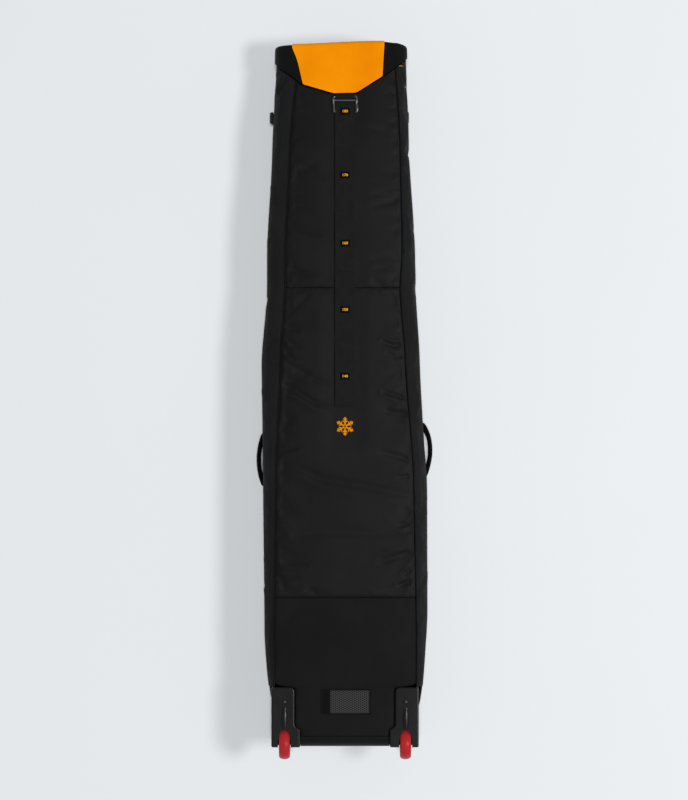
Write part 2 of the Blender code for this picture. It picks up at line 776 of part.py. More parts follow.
# ---- handles and small pieces ----
def build_handle(name, side, y_top, y_base, edge_x, reach, mat):
    """Webbing carry handle bowed out from the side wall."""
    steps = 14
    outer = []
    inner = []
    axis_x = side * edge_x
    for i in range(steps + 1):
        t = i / steps
        bow = math.sin(math.pi * t) ** 0.55
        y = y_top + (y_base - y_top) * t
        half = 0.006 + 0.009 * bow
        x_in = axis_x + side * (reach - HANDLE_T) * bow
        x_out = x_in + side * (0.003 + (HANDLE_T - 0.003) * bow)
        outer.append([(x_out, y, HANDLE_Z - half), (x_out, y, HANDLE_Z + half)])
        inner.append([(x_in, y, HANDLE_Z - half), (x_in, y, HANDLE_Z + half)])
    return sheet(name, outer, inner, mat, (axis_x, 0.5 * (y_top + y_base), HANDLE_Z))


def widest(y, reach, side):
    """Largest half width on one side within a short stretch."""
    column = 0 if side < 0 else 1
    return max(spread(y + step)[column] for step in (-reach, 0.0, reach))


def build_anchor(name, side, y, mat):
    """Stitched patch that holds one end of a carry handle."""
    edge = widest(y, 0.014, side)
    low_x = min(side * (edge + 0.0005), side * (edge + 0.0020))
    high_x = max(side * (edge + 0.0005), side * (edge + 0.0020))
    low = (low_x, y - 0.014, HANDLE_Z - 0.014)
    return box(name, low, (high_x, y + 0.014, HANDLE_Z + 0.014), mat, (side * edge, y, HANDLE_Z))


def build_tab(name, side, y, mat):
    """Small folded webbing tab sewn to the side wall."""
    edge = widest(y, 0.0135, side)
    low_x = min(side * (edge + 0.0012), side * (edge + 0.0042))
    high_x = max(side * (edge + 0.0012), side * (edge + 0.0042))
    low = (low_x, y - 0.0135, 0.060)
    return bevel(box(name, low, (high_x, y + 0.0135, 0.100), mat, (side * edge, y, 0.08)), 0.0008, 1)


def build_inside(mat_stiff, mat_web, mat_buckle):
    """Stiff plate behind the lower back and the two tie-down straps with buckles."""
    outer = []
    inner = []
    for y in stations(-0.520, -0.820, 5):
        xs = [-0.110 + 0.220 * i / 4 for i in range(5)]
        outer.append([(x, y, back_height(x, y) - BACK_PAD - 0.0006) for x in xs])
        inner.append([(x, y, back_height(x, y) - BACK_PAD - 0.0030) for x in xs])
    sheet("base_frame_plate", outer, inner, mat_stiff)
    for word, y in (("upper", 0.400), ("lower", -0.340)):
        outer = []
        inner = []
        for along in (y - 0.0125, y + 0.0125):
            xs = [-0.130 + 0.260 * i / 8 for i in range(9)]
            outer.append([(x, along, back_height(x, along) - BACK_PAD - 0.0006) for x in xs])
            inner.append([(x, along, back_height(x, along) - BACK_PAD - 0.0020) for x in xs])
        sheet("inside_strap_" + word, outer, inner, mat_web)
        high = back_height(0.0, y) - BACK_PAD - 0.0036
        corner = (-0.026, y - 0.0165, high - 0.007)
        block = box("inside_buckle_" + word, corner, (0.026, y + 0.0165, high), mat_buckle)
        bevel(block, 0.002, 2)


tools = start_scene()
MATS = {
    "fabric": material("black_fabric", (0.012, 0.012, 0.013), 0.85),
    "panel": material("coated_fabric", (0.014, 0.014, 0.015), 0.55),
    "lining": material("lining_fabric", (0.020, 0.020, 0.022), 0.90),
    "orange": material("orange_fabric", (0.92, 0.28, 0.008), 0.70),
    "web": material("black_webbing", (0.018, 0.018, 0.019), 0.70),
    "tag": material("tag_rubber", (0.008, 0.008, 0.008), 0.50),
    "thread": material("orange_thread", (0.90, 0.30, 0.02), 0.60),
    "housing": material("housing_plastic", (0.030, 0.031, 0.033), 0.35),
    "hub": material("hub_plastic", (0.30, 0.012, 0.015), 0.40),
    "red": material("red_wheel", (0.48, 0.018, 0.022), 0.35),
    "steel": material("steel", (0.60, 0.60, 0.62), 0.30, 1.0),
    "metal": material("hook_metal", (0.55, 0.56, 0.57), 0.35, 1.0),
    "mesh": material("window_mesh", (0.10, 0.10, 0.105), 0.50),
    "zip": material("zip_nylon", (0.015, 0.015, 0.016), 0.45),
    "stiff": material("frame_plastic", (0.05, 0.05, 0.055), 0.50),
}

build_back("back_panel_upper", TOP_Y - END_SHEET - SEAM_GAP, SEAM_UPPER_Y + SEAM_GAP, 11, MATS["panel"])
build_back("back_panel_middle", SEAM_UPPER_Y - SEAM_GAP, SEAM_LOWER_Y + SEAM_GAP, 14, MATS["panel"])
lower = build_back("back_panel_lower", SEAM_LOWER_Y - SEAM_GAP, SEAM_BASE_Y + SEAM_GAP, 8, MATS["panel"])
gussets = [
    build_gusset("side_gusset_left", -1, MATS["fabric"]), build_gusset("side_gusset_right", 1, MATS["fabric"]),
]
build_top_end(MATS["fabric"])
base_end = build_base_end(MATS["fabric"])
build_piping("piping_left", -1, MATS["web"])
build_piping("piping_right", 1, MATS["web"])
for side, word, gusset in ((-1, "left", gussets[0]), (1, "right", gussets[1])):
    outline = housing_outline(side, FABRIC_CLEAR)
    room = plate("housing_room_" + word, outline, HOUSING_FLOOR_Z - FABRIC_CLEAR, 0.30, None)
    for piece in (lower, gusset, base_end):
        cut(piece, room)
    build_housing("wheel_housing_" + word, side, MATS["housing"])
    build_wheel(side, word, MATS)
build_front(MATS["fabric"])
build_zip(MATS["zip"], MATS["metal"], MATS["web"])
build_chain(MATS["web"], MATS["tag"])
build_emblem(MATS["thread"])
build_window(MATS["web"], MATS["mesh"])
build_flap(MATS)
build_strap(MATS["web"])
build_hook(MATS["metal"])
HANDLES = (
    ("left", -1, -0.086, -0.221, 0.2165, 0.0090),
    ("right", 1, -0.058, -0.198, 0.2095, 0.0160),
)
for word, side, top, base, pivot_x, reach in HANDLES:
    build_handle("side_handle_" + word, side, top, base, pivot_x, reach, MATS["web"])
    build_anchor("handle_patch_" + word + "_top", side, top, MATS["web"])
    build_anchor("handle_patch_" + word + "_base", side, base, MATS["web"])
build_tab("side_tab_left", -1, 0.734, MATS["web"])
build_tab("side_tab_right", 1, 0.734, MATS["web"])
build_inside(MATS["stiff"], MATS["web"], MATS["housing"])
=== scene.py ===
"""Looks for the wheeled snowboard bag: sewn shell, webbing, flap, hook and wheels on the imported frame."""

import math

import bmesh
import bpy
import numpy as np
from mathutils import Matrix, Vector, noise


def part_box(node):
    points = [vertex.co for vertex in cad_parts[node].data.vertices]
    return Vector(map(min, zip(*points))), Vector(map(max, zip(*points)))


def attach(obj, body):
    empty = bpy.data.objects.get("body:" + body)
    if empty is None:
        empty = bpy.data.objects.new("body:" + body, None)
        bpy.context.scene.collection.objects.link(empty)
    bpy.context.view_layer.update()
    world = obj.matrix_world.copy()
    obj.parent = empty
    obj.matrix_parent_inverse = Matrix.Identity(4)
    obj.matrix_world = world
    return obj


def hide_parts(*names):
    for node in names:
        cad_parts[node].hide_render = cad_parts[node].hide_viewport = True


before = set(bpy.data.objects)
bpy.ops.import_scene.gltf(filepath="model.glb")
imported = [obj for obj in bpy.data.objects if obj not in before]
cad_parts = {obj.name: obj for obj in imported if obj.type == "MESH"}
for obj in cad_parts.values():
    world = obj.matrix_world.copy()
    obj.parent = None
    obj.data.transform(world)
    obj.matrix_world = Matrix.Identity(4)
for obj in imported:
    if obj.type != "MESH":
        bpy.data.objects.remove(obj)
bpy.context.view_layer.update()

# ---- the bag's own sizes, metres ----
TOP_Y = 0.906
BASE_Y = -0.884
# distance along, left edge, right edge, left seam, right seam, height of the back
SECTIONS = (
    (0.906, 0.175, 0.155, 0.120, 0.129, 0.160),
    (0.640, 0.187, 0.163, 0.141, 0.143, 0.192),
    (0.385, 0.200, 0.178, 0.153, 0.148, 0.205),
    (0.285, 0.200, 0.180, 0.153, 0.142, 0.208),
    (0.100, 0.214, 0.190, 0.165, 0.156, 0.215),
    (-0.200, 0.210, 0.205, 0.177, 0.177, 0.221),
    (-0.600, 0.206, 0.206, 0.182, 0.184, 0.226),
    (-0.884, 0.184, 0.187, 0.180, 0.183, 0.228),
)
CROWN = 0.006
SEAM_UPPER_Y = 0.289
SEAM_LOWER_Y = -0.502
SEAM_BASE_Y = -0.857
PAD = 0.008
PIPING_CLEAR = 0.0024
RIM_ROUND = 0.030
HINGE_X = -0.128
ZIP_TOP_X = 0.102
ZIP_BASE_X = 0.136
ZIP_ROOM = 0.0100
WHEEL_X = 0.1545
AXLE_Y = -0.877
AXLE_Z = 0.212
HOUSING_IN_X = 0.128
HOUSING_FLARE_X = 0.114
HOUSING_OUT_X = 0.188
HOUSING_TOP_Y = -0.7308
HOUSING_FLOOR_Z = 0.128
HOUSING_BACK_Z = 0.240
CHAIN_TOP_Y = 0.7665
CHAIN_END_Y = -0.018
CHAIN_STITCHES = (0.669, 0.501, 0.329, 0.157)
CHAIN_LIFT = 0.0040
TAGS = (("180", 0.741), ("170", 0.5765), ("160", 0.402), ("150", 0.232), ("140", 0.062))
SIDES = ((-1, "left"), (1, "right"))
UP = (0.0, 0.0, 1.0)
MATS = {}


# ---- shape of the bag ----
def spread(y):
    """Left edge, right edge, left seam, right seam and height at one distance along."""
    if y >= SECTIONS[0][0]:
        return SECTIONS[0][1:]
    for upper, lower in zip(SECTIONS, SECTIONS[1:]):
        if y >= lower[0]:
            t = (upper[0] - y) / (upper[0] - lower[0])
            t = 0.5 * t + 0.5 * t * t * (3.0 - 2.0 * t)
            return tuple(a + (b - a) * t for a, b in zip(upper[1:], lower[1:]))
    return SECTIONS[-1][1:]


def back_height(x, y):
    """Height of the back between its seams."""
    cut = spread(y)
    seam = cut[2] if x < 0.0 else cut[3]
    ratio = min(1.0, abs(x) / seam)
    return cut[4] + CROWN * (1.0 - ratio * ratio)


def bezier(a, b, c, d, t):
    """Point of a cubic curve."""
    s = 1.0 - t
    points = zip(a, b, c, d)
    return tuple(s ** 3 * p + 3 * s * s * t * q + 3 * s * t * t * r + t ** 3 * w for p, q, r, w in points)


def rim_x(y, side):
    """Inner edge of the front rim."""
    if side < 0:
        return -HINGE_X
    t = (TOP_Y - y) / (TOP_Y - BASE_Y)
    return ZIP_TOP_X + (ZIP_BASE_X - ZIP_TOP_X) * t + ZIP_ROOM * 0.5


def side_point(y, side, t):
    """Half width and height down one side.

    `t` is 0 at the back seam, 1 at the belly, 2 at the foot and 3 at the rim.
    """
    cut = spread(y)
    edge = cut[0] if side < 0 else cut[1]
    seam = (cut[2] if side < 0 else cut[3]) + PIPING_CLEAR
    height = cut[4]
    top = (seam, height - 0.001)
    belly = (edge, 0.5 * height)
    foot = (edge - RIM_ROUND, 0.0)
    if t <= 1.0:
        return bezier(top, (seam + 0.86 * (edge - seam), height - 0.0035), (edge, 0.86 * height), belly, t)
    if t <= 2.0:
        return bezier(belly, (edge, 0.22 * height), (edge - 0.1 * RIM_ROUND, 0.0), foot, t - 1.0)
    return (foot[0] + (rim_x(y, side) - foot[0]) * (t - 2.0), 0.0)


def lerp(a, b, t):
    """Straight mix of two numbers."""
    return a + (b - a) * t


def smooth(t):
    """Soft step from 0 to 1."""
    t = min(1.0, max(0.0, t))
    return t * t * (3.0 - 2.0 * t)


def between(marks, x, eased=False):
    """Value at `x` between marked places, level beyond the first and the last."""
    if x <= marks[0][0]:
        return marks[0][1]
    for a, b in zip(marks, marks[1:]):
        if x <= b[0]:
            t = (x - a[0]) / (b[0] - a[0])
            return lerp(a[1], b[1], smooth(t) if eased else t)
    return marks[-1][1]


def seam_at(y, side):
    """Half width of the back out to its seam on one side."""
    return spread(y)[2 if side < 0 else 3]


def circle(count):
    """Cosine and sine of equal steps round a circle."""
    return [(math.cos(2.0 * math.pi * k / count), math.sin(2.0 * math.pi * k / count)) for k in range(count)]


def squared(value, power):
    """Cosine or sine bent so that a circle turns into a rounded block."""
    return math.copysign(abs(value) ** power, value)


# ---- materials ----
class Nodes:
    """Small helper that builds one procedural material."""

    def __init__(self, name, color, rough, metallic=0.0):
        self.mat = bpy.data.materials.new(name)
        self.mat.use_nodes = True
        self.tree = self.mat.node_tree
        self.bsdf = self.tree.nodes["Principled BSDF"]
        self.color = color
        self.rough = rough
        self.bsdf.inputs["Metallic"].default_value = metallic
        self.mat.diffuse_color = (*color, 1.0)
        self.coord = self.add("ShaderNodeTexCoord").outputs["Object"]

    def add(self, kind, **settings):
        made = self.tree.nodes.new(kind)
        for key, value in settings.items():
            setattr(made, key, value)
        return made

    def link(self, source, target):
        self.tree.links.new(source, target)

    def math(self, operation, a, b=None):
        made = self.add("ShaderNodeMath", operation=operation)
        for socket, value in zip(made.inputs, (a, b)):
            if value is None:
                continue
            if isinstance(value, (int, float)):
                socket.default_value = value
            else:
                self.link(value, socket)
        return made.outputs[0]

    def axes(self):
        split = self.add("ShaderNodeSeparateXYZ")
        self.link(self.coord, split.inputs[0])
        return split.outputs

    def noise(self, scale, detail=3.0, rough=0.5, stretch=None):
        made = self.add("ShaderNodeTexNoise")
        made.inputs["Scale"].default_value = scale
        made.inputs["Detail"].default_value = detail
        made.inputs["Roughness"].default_value = rough
        source = self.coord
        if stretch:
            mapping = self.add("ShaderNodeMapping")
            mapping.inputs["Scale"].default_value = stretch
            self.link(source, mapping.inputs["Vector"])
            source = mapping.outputs[0]
        self.link(source, made.inputs["Vector"])
        return made.outputs["Fac"]

    def weave(self, pitch, slant=0.0):
        """Over-and-under threads on whichever way the cloth faces."""
        x, y, z = self.axes()
        turn = 2.0 * math.pi / pitch
        facing = self.add("ShaderNodeSeparateXYZ")
        self.link(self.add("ShaderNodeNewGeometry").outputs["Normal"], facing.inputs[0])
        waves = []
        for axis in (x, y, z):
            waves.append(self.math("SINE", self.math("MULTIPLY", axis, turn)))
        if slant:
            leaning = self.math("ADD", y, self.math("MULTIPLY", x, slant))
            waves[1] = self.math("SINE", self.math("MULTIPLY", leaning, turn))
        total = None
        for (i, j), side in (((0, 1), 2), ((1, 2), 0), ((0, 2), 1)):
            part = self.math("MULTIPLY", waves[i], waves[j])
            part = self.math("MULTIPLY", part, self.math("ABSOLUTE", facing.outputs[side]))
            total = part if total is None else self.math("ADD", total, part)
        return total

    def bump(self, height, strength, distance):
        made = self.add("ShaderNodeBump")
        made.inputs["Strength"].default_value = strength
        made.inputs["Distance"].default_value = distance
        if not isinstance(height, (int, float)):
            self.link(height, made.inputs["Height"])
        last = self.bsdf.inputs["Normal"]
        if last.is_linked:
            self.link(last.links[0].from_socket, made.inputs["Normal"])
        self.link(made.outputs[0], last)

    def tint(self, amount, factor, swing, wear=0.0):
        """Base colour that drifts by `amount` along `factor`, lighter on worn edges."""
        ramp = self.add("ShaderNodeMapRange")
        ramp.inputs["From Min"].default_value = 0.5 - swing
        ramp.inputs["From Max"].default_value = 0.5 + swing
        self.link(factor, ramp.inputs["Value"])
        mix = self.add("ShaderNodeMix", data_type="RGBA")
        self.link(ramp.outputs[0], mix.inputs[0])
        mix.inputs[6].default_value = (*[c * (1.0 - amount) for c in self.color], 1.0)
        mix.inputs[7].default_value = (*[min(1.0, c * (1.0 + amount)) for c in self.color], 1.0)
        result = mix.outputs[2]
        if wear:
            edge = self.add("ShaderNodeMapRange")
            edge.inputs["From Min"].default_value = 0.52
            edge.inputs["From Max"].default_value = 0.62
            edge.inputs["To Max"].default_value = wear
            self.link(self.add("ShaderNodeNewGeometry").outputs["Pointiness"], edge.inputs["Value"])
            worn = self.add("ShaderNodeMix", data_type="RGBA")
            self.link(edge.outputs[0], worn.inputs[0])
            self.link(result, worn.inputs[6])
            worn.inputs[7].default_value = (*[min(1.0, c * 2.0 + 0.004) for c in self.color], 1.0)
            result = worn.outputs[2]
        self.link(result, self.bsdf.inputs["Base Color"])

    def gloss(self, factor, swing):
        """Roughness that drifts a little over the surface."""
        ramp = self.add("ShaderNodeMapRange")
        ramp.inputs["To Min"].default_value = max(0.05, self.rough - swing)
        ramp.inputs["To Max"].default_value = min(1.0, self.rough + swing)
        self.link(factor, ramp.inputs["Value"])
        self.link(ramp.outputs[0], self.bsdf.inputs["Roughness"])


def fabric(name, color, rough, pitch, depth, sheen, crinkle, gleam):
    """Woven cloth with drifting colour, crinkles and a faint sheen."""
    n = Nodes(name, color, rough)
    n.tint(0.16, n.noise(9.0, 5.0), 0.25, 0.25)
    n.gloss(n.noise(26.0, 3.0), 0.08)
    n.bump(n.noise(60.0, 4.0, 0.6), 0.5, crinkle)
    n.bump(n.weave(pitch), 0.55, depth)
    n.bsdf.inputs["Sheen Weight"].default_value = sheen
    n.bsdf.inputs["Sheen Roughness"].default_value = 0.45
    n.bsdf.inputs["Specular IOR Level"].default_value = gleam
    return n.mat


def webbing(name, color, rough, slant, sheen, gleam):
    """Ribbed webbing tape with slanted yarns."""
    n = Nodes(name, color, rough)
    n.tint(0.14, n.noise(40.0, 4.0), 0.25, 0.35)
    n.gloss(n.noise(120.0, 2.0), 0.06)
    n.bump(n.weave(0.0019, slant), 0.8, 0.00035)
    n.bump(n.noise(900.0, 2.0), 0.35, 0.0001)
    n.bsdf.inputs["Sheen Weight"].default_value = sheen
    n.bsdf.inputs["Sheen Roughness"].default_value = 0.4
    n.bsdf.inputs["Specular IOR Level"].default_value = gleam
    return n.mat


def plastic(name, color, rough, grain, wear, coat, gleam):
    """Moulded plastic with a fine pebble grain and rubbed edges."""
    n = Nodes(name, color, rough)
    n.tint(0.10, n.noise(30.0, 4.0), 0.3, wear)
    n.gloss(n.noise(55.0, 4.0), 0.07)
    n.bump(n.noise(1400.0, 2.0), 0.5, grain)
    n.bump(n.noise(14.0, 2.0), 0.2, 0.0004)
    n.bsdf.inputs["Coat Weight"].default_value = coat
    n.bsdf.inputs["Coat Roughness"].default_value = 0.25
    n.bsdf.inputs["Specular IOR Level"].default_value = gleam
    return n.mat


def metal(name, color, rough):
    """Cast or drawn metal with fine scratches."""
    n = Nodes(name, color, rough, 1.0)
    n.tint(0.12, n.noise(70.0, 4.0), 0.3, 0.3)
    n.gloss(n.noise(900.0, 3.0, 0.6, (1.0, 0.05, 1.0)), 0.10)
    n.bump(n.noise(600.0, 3.0), 0.25, 0.00005)
    return n.mat


def mesh_cloth(name, color):
    """Open hexagonal mesh: dark holes between pale threads."""
    n = Nodes(name, color, 0.45)
    x, y = n.axes()[:2]
    pitch = 2.0 * math.pi / 0.0050
    a = n.math("COSINE", n.math("MULTIPLY", x, pitch))
    half = n.math("MULTIPLY", x, pitch * 0.5)
    b = n.math("COSINE", n.math("ADD", half, n.math("MULTIPLY", y, pitch * 0.866)))
    c = n.math("COSINE", n.math("SUBTRACT", half, n.math("MULTIPLY", y, pitch * 0.866)))
    total = n.math("ADD", a, n.math("ADD", b, c))
    hole = n.add("ShaderNodeMapRange")
    hole.inputs["From Min"].default_value = 0.1
    hole.inputs["From Max"].default_value = 0.9
    n.link(total, hole.inputs["Value"])
    mix = n.add("ShaderNodeMix", data_type="RGBA")
    n.link(hole.outputs[0], mix.inputs[0])
    mix.inputs[6].default_value = (*color, 1.0)
    mix.inputs[7].default_value = (0.0015, 0.0015, 0.0017, 1.0)
    n.link(mix.outputs[2], n.bsdf.inputs["Base Color"])
    n.bump(n.math("SUBTRACT", 1.0, hole.outputs[0]), 0.8, 0.0004)
    n.bsdf.inputs["Roughness"].default_value = 0.45
    n.bsdf.inputs["Specular IOR Level"].default_value = 0.15
    return n.mat


# key, name, colour, roughness, thread pitch, thread depth, sheen, crinkle depth, gleam
FABRICS = (
    ("back", "coated_back_fabric", (0.0078, 0.0078, 0.0079), 0.52, 0.0011, 0.00010, 0.02, 0.0004, 0.22),
    ("lower", "stiff_back_fabric", (0.0084, 0.0084, 0.0085), 0.60, 0.0011, 0.00008, 0.02, 0.0002, 0.12),
    ("side", "side_fabric", (0.0140, 0.0140, 0.0141), 0.74, 0.0010, 0.00012, 0.004, 0.0006, 0.06),
    ("front", "front_fabric", (0.0070, 0.0070, 0.0071), 0.72, 0.0012, 0.00014, 0.03, 0.0006, 0.20),
    # The lining's colour is pushed near black so that its rim left showing past the orange's free edge paints
    # the shadow under the flap's edge.
    ("lining", "lining_fabric", (0.0022, 0.0022, 0.0023), 0.85, 0.0007, 0.00008, 0.01, 0.0005, 0.05),
    ("wing", "flap_wing_fabric", (0.0062, 0.0061, 0.0061), 0.72, 0.0010, 0.00012, 0.012, 0.0005, 0.10),
    ("orange", "orange_flap_fabric", (0.97, 0.276, 0.0012), 0.80, 0.0010, 0.00012, 0.0, 0.0005, 0.04),
    ("piping", "piping_cord_cloth", (0.0042, 0.0042, 0.0043), 0.60, 0.0008, 0.00010, 0.02, 0.0002, 0.14),
    ("number", "number_print", (0.90, 0.36, 0.012), 0.60, 0.0005, 0.00004, 0.0, 0.0001, 0.05),
    ("black_thread", "black_thread", (0.0085, 0.0085, 0.0088), 0.60, 0.0005, 0.00005, 0.03, 0.0001, 0.20),
)
# key, name, colour, roughness, slant of the yarns, sheen, gleam
WEBBINGS = (
    ("web", "black_webbing", (0.0128, 0.0128, 0.0130), 0.70, 1.0, 0.03, 0.16),
    # The handles are black webbing darkened further, which paints the shade that falls on them under the
    # bulging side walls.
    ("handle", "handle_webbing", (0.0026, 0.0026, 0.0027), 0.80, 0.8, 0.01, 0.06),
    ("binding", "binding_tape", (0.0046, 0.0046, 0.0048), 0.75, 0.6, 0.03, 0.16),
    ("thread", "orange_thread", (0.90, 0.262, 0.002), 0.70, 2.2, 0.0, 0.05),
)
# key, name, colour, roughness, grain depth, edge wear, clear coat, gleam
PLASTICS = (
    ("tag", "tag_rubber", (0.0016, 0.0016, 0.0017), 0.55, 0.00005, 0.1, 0.0, 0.10),
    ("housing", "housing_plastic", (0.0092, 0.0092, 0.0094), 0.34, 0.00004, 0.5, 0.0, 0.45),
    ("wheel", "red_wheel_tyre", (0.44, 0.020, 0.022), 0.36, 0.00004, 0.3, 0.05, 0.25),
    ("hub", "red_hub", (0.22, 0.010, 0.012), 0.38, 0.00004, 0.3, 0.05, 0.25),
    ("zip", "zip_coil", (0.007, 0.007, 0.0075), 0.42, 0.00008, 0.4, 0.0, 0.30),
    ("stiff", "frame_sheet", (0.020, 0.020, 0.022), 0.55, 0.00008, 0.4, 0.0, 0.30),
)


def make_materials():
    """Every finish on the bag."""
    for make, rows in ((fabric, FABRICS), (webbing, WEBBINGS), (plastic, PLASTICS)):
        for key, name, color, *values in rows:
            MATS[key] = make(name, color, *values)
    MATS["steel"] = metal("steel", (0.13, 0.13, 0.135), 0.42)
    MATS["hook"] = metal("hook_alloy", (0.30, 0.305, 0.31), 0.45)
    MATS["mesh"] = mesh_cloth("window_mesh", (0.046, 0.046, 0.047))


# ---- mesh building ----
def add_object(name, mesh, mat, body):
    """Link a finished mesh, give it a finish and the body it rides."""
    obj = bpy.data.objects.new(name, mesh)
    bpy.context.scene.collection.objects.link(obj)
    mesh.materials.append(MATS[mat])
    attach(obj, body)
    return obj


def mesh_from(name, verts, faces, sharp=40.0):
    """Closed mesh facing out, smooth between gentle angles."""
    mesh = bpy.data.meshes.new(name)
    mesh.from_pydata([tuple(v) for v in verts], [], faces)
    shell = bmesh.new()
    shell.from_mesh(mesh)
    bmesh.ops.recalc_face_normals(shell, faces=shell.faces)
    shell.to_mesh(mesh)
    shell.free()
    for face in mesh.polygons:
        face.use_smooth = True
    mesh.set_sharp_from_angle(angle=math.radians(sharp))
    return mesh


def piece(name, verts, faces, mat, body, sharp=40.0):
    """Finished piece made from vertices and faces."""
    return add_object(name, mesh_from(name, verts, faces, sharp), mat, body)


def gather(verts, faces, shape):
    """Add one more shape's vertices and faces to a growing mesh."""
    faces += [tuple(i + len(verts) for i in face) for face in shape[1]]
    verts += shape[0]


def grid_normals(grid):
    """Unit normals of a grid of points."""
    along = np.gradient(grid, axis=0)
    across = np.gradient(grid, axis=1)
    normal = np.cross(along, across)
    size = np.linalg.norm(normal, axis=2, keepdims=True)
    return normal / np.maximum(size, 1e-9)


# how far the outer edges of a sewn sheet keep from being rounded off, 0 to 1
EDGE_CRISP = 0.75
# how many steps the cloth is left to settle, and how stiffly it bends
CLOTH_FRAMES = 24
CLOTH_BEND = 0.5


def slab_faces(rows, cols):
    """Faces that close two equal grids of points, one after the other, into a slab."""
    half = rows * cols
    faces = []
    for r in range(rows - 1):
        for c in range(cols - 1):
            a = r * cols + c
            b = a + cols
            faces.append((a, a + 1, b + 1, b))
            faces.append((half + a, half + b, half + b + 1, half + a + 1))
        for c in (0, cols - 1):
            a = r * cols + c
            faces.append((a, a + cols, half + a + cols, half + a))
    for r in (0, rows - 1):
        for c in range(cols - 1):
            a = r * cols + c
            faces.append((a, half + a, half + a + 1, a + 1))
    return faces


def thick_sheet(name, grid, thickness, mat, body, sharp=180.0, flip=1.0):
    """Sewn sheet: a grid given thickness on its inner side, edges rounded by subdivision."""
    rows, cols = grid.shape[:2]
    normal = grid_normals(grid) * flip
    inner = grid - normal * thickness
    verts = np.concatenate([grid.reshape(-1, 3), inner.reshape(-1, 3)])
    half = rows * cols
    mesh = mesh_from(name, verts, slab_faces(rows, cols), sharp)
    border = np.zeros((rows, cols), bool)
    border[0] = border[-1] = True
    border[:, 0] = border[:, -1] = True
    border = border.ravel()
    ends = np.empty(2 * len(mesh.edges), np.int32)
    mesh.edges.foreach_get("vertices", ends)
    ends = ends.reshape(-1, 2)
    outer = (ends < half).all(axis=1)
    at_border = border[ends % half].all(axis=1)
    values = np.where(outer & at_border, EDGE_CRISP, 0.0).astype(np.float32)
    mesh.attributes.new("crease_edge", "FLOAT", "EDGE").data.foreach_set("value", values)
    obj = add_object(name, mesh, mat, body)
    mod = obj.modifiers.new("Smooth", "SUBSURF")
    mod.levels = 1
    mod.render_levels = 1
    return obj


def settle(grid, growth, pressure, cap, seed):
    """Cloth with a little spare fabric puffs and wrinkles between its sewn edges."""
    rows, cols = grid.shape[:2]
    normal = grid_normals(grid)
    start = grid.copy()
    for r in range(1, rows - 1):
        for c in range(1, cols - 1):
            point = Vector(grid[r, c]) * 22.0 + Vector((seed, seed * 1.7, 0.0))
            start[r, c] += normal[r, c] * (0.0012 * noise.noise(point))
    faces = []
    for r in range(rows - 1):
        for c in range(cols - 1):
            a = r * cols + c
            faces.append((a, a + cols, a + cols + 1, a + 1))
    mesh = bpy.data.meshes.new("cloth_tmp")
    mesh.from_pydata([tuple(p) for p in start.reshape(-1, 3)], [], faces)
    obj = bpy.data.objects.new("cloth_tmp", mesh)
    scene = bpy.context.scene
    scene.collection.objects.link(obj)
    pins = obj.vertex_groups.new(name="pin")
    for r in range(rows):
        sewn = range(cols) if r in (0, rows - 1) else (0, cols - 1)
        pins.add([r * cols + c for c in sewn], 1.0, "REPLACE")
    cloth = obj.modifiers.new("Cloth", "CLOTH")
    cloth.point_cache.frame_start = 1
    cloth.point_cache.frame_end = CLOTH_FRAMES
    setup = cloth.settings
    setup.quality = 5
    setup.mass = 0.2
    setup.tension_stiffness = 20.0
    setup.compression_stiffness = 20.0
    setup.shear_stiffness = 8.0
    setup.bending_stiffness = CLOTH_BEND
    setup.air_damping = 2.0
    setup.vertex_group_mass = "pin"
    setup.shrink_min = -growth
    setup.use_pressure = True
    setup.uniform_pressure_force = pressure
    setup.effector_weights.gravity = 0.0
    facing = Vector(mesh.polygons[len(faces) // 2].normal).dot(Vector(normal[rows // 2, cols // 2]))
    if facing < 0.0:
        mesh.flip_normals()
    for step in range(1, CLOTH_FRAMES + 1):
        scene.frame_set(step)
    ready = obj.evaluated_get(bpy.context.evaluated_depsgraph_get())
    flat = np.empty(len(mesh.vertices) * 3)
    ready.data.vertices.foreach_get("co", flat)
    bpy.data.objects.remove(obj)
    bpy.data.meshes.remove(mesh)
    scene.frame_set(1)
    move = flat.reshape(rows, cols, 3) - grid
    size = np.linalg.norm(move, axis=2, keepdims=True)
    return grid + move * (cap * np.tanh(size / cap) / np.maximum(size, 1e-9))


def tube_mesh(points, radii, sides):
    """Round bar along points, as vertices and faces."""
    points = [Vector(p) for p in points]
    verts = []
    faces = []
    for i, point in enumerate(points):
        ahead = points[min(i + 1, len(points) - 1)] - points[max(i - 1, 0)]
        ahead.normalize()
        up = Vector(UP)
        if abs(ahead.z) > 0.95:
            up = Vector((0.0, 1.0, 0.0))
        side = ahead.cross(up).normalized()
        up = side.cross(ahead)
        for ca, sa in circle(sides):
            verts.append(point + side * (ca * radii[i]) + up * (sa * radii[i]))
        if i:
            for k in range(sides):
                a = (i - 1) * sides + k
                b = (i - 1) * sides + (k + 1) % sides
                faces.append((a, b, b + sides, a + sides))
    faces.append(tuple(range(sides)))
    last = (len(points) - 1) * sides
    faces.append(tuple(range(last, last + sides)))
    return verts, faces


def rounded(points, steps=6):
    """Smooth curve through a few points."""
    points = [Vector(p) for p in points]
    path = []
    for i in range(len(points) - 1):
        a = points[max(i - 1, 0)]
        b = points[i]
        c = points[i + 1]
        d = points[min(i + 2, len(points) - 1)]
        for k in range(steps):
            t = k / steps
            start = (2 * b) + (c - a) * t + (2 * a - 5 * b + 4 * c - d) * t * t
            path.append(0.5 * (start + (3 * b - a - 3 * c + d) * t ** 3))
    path.append(points[-1])
    return path


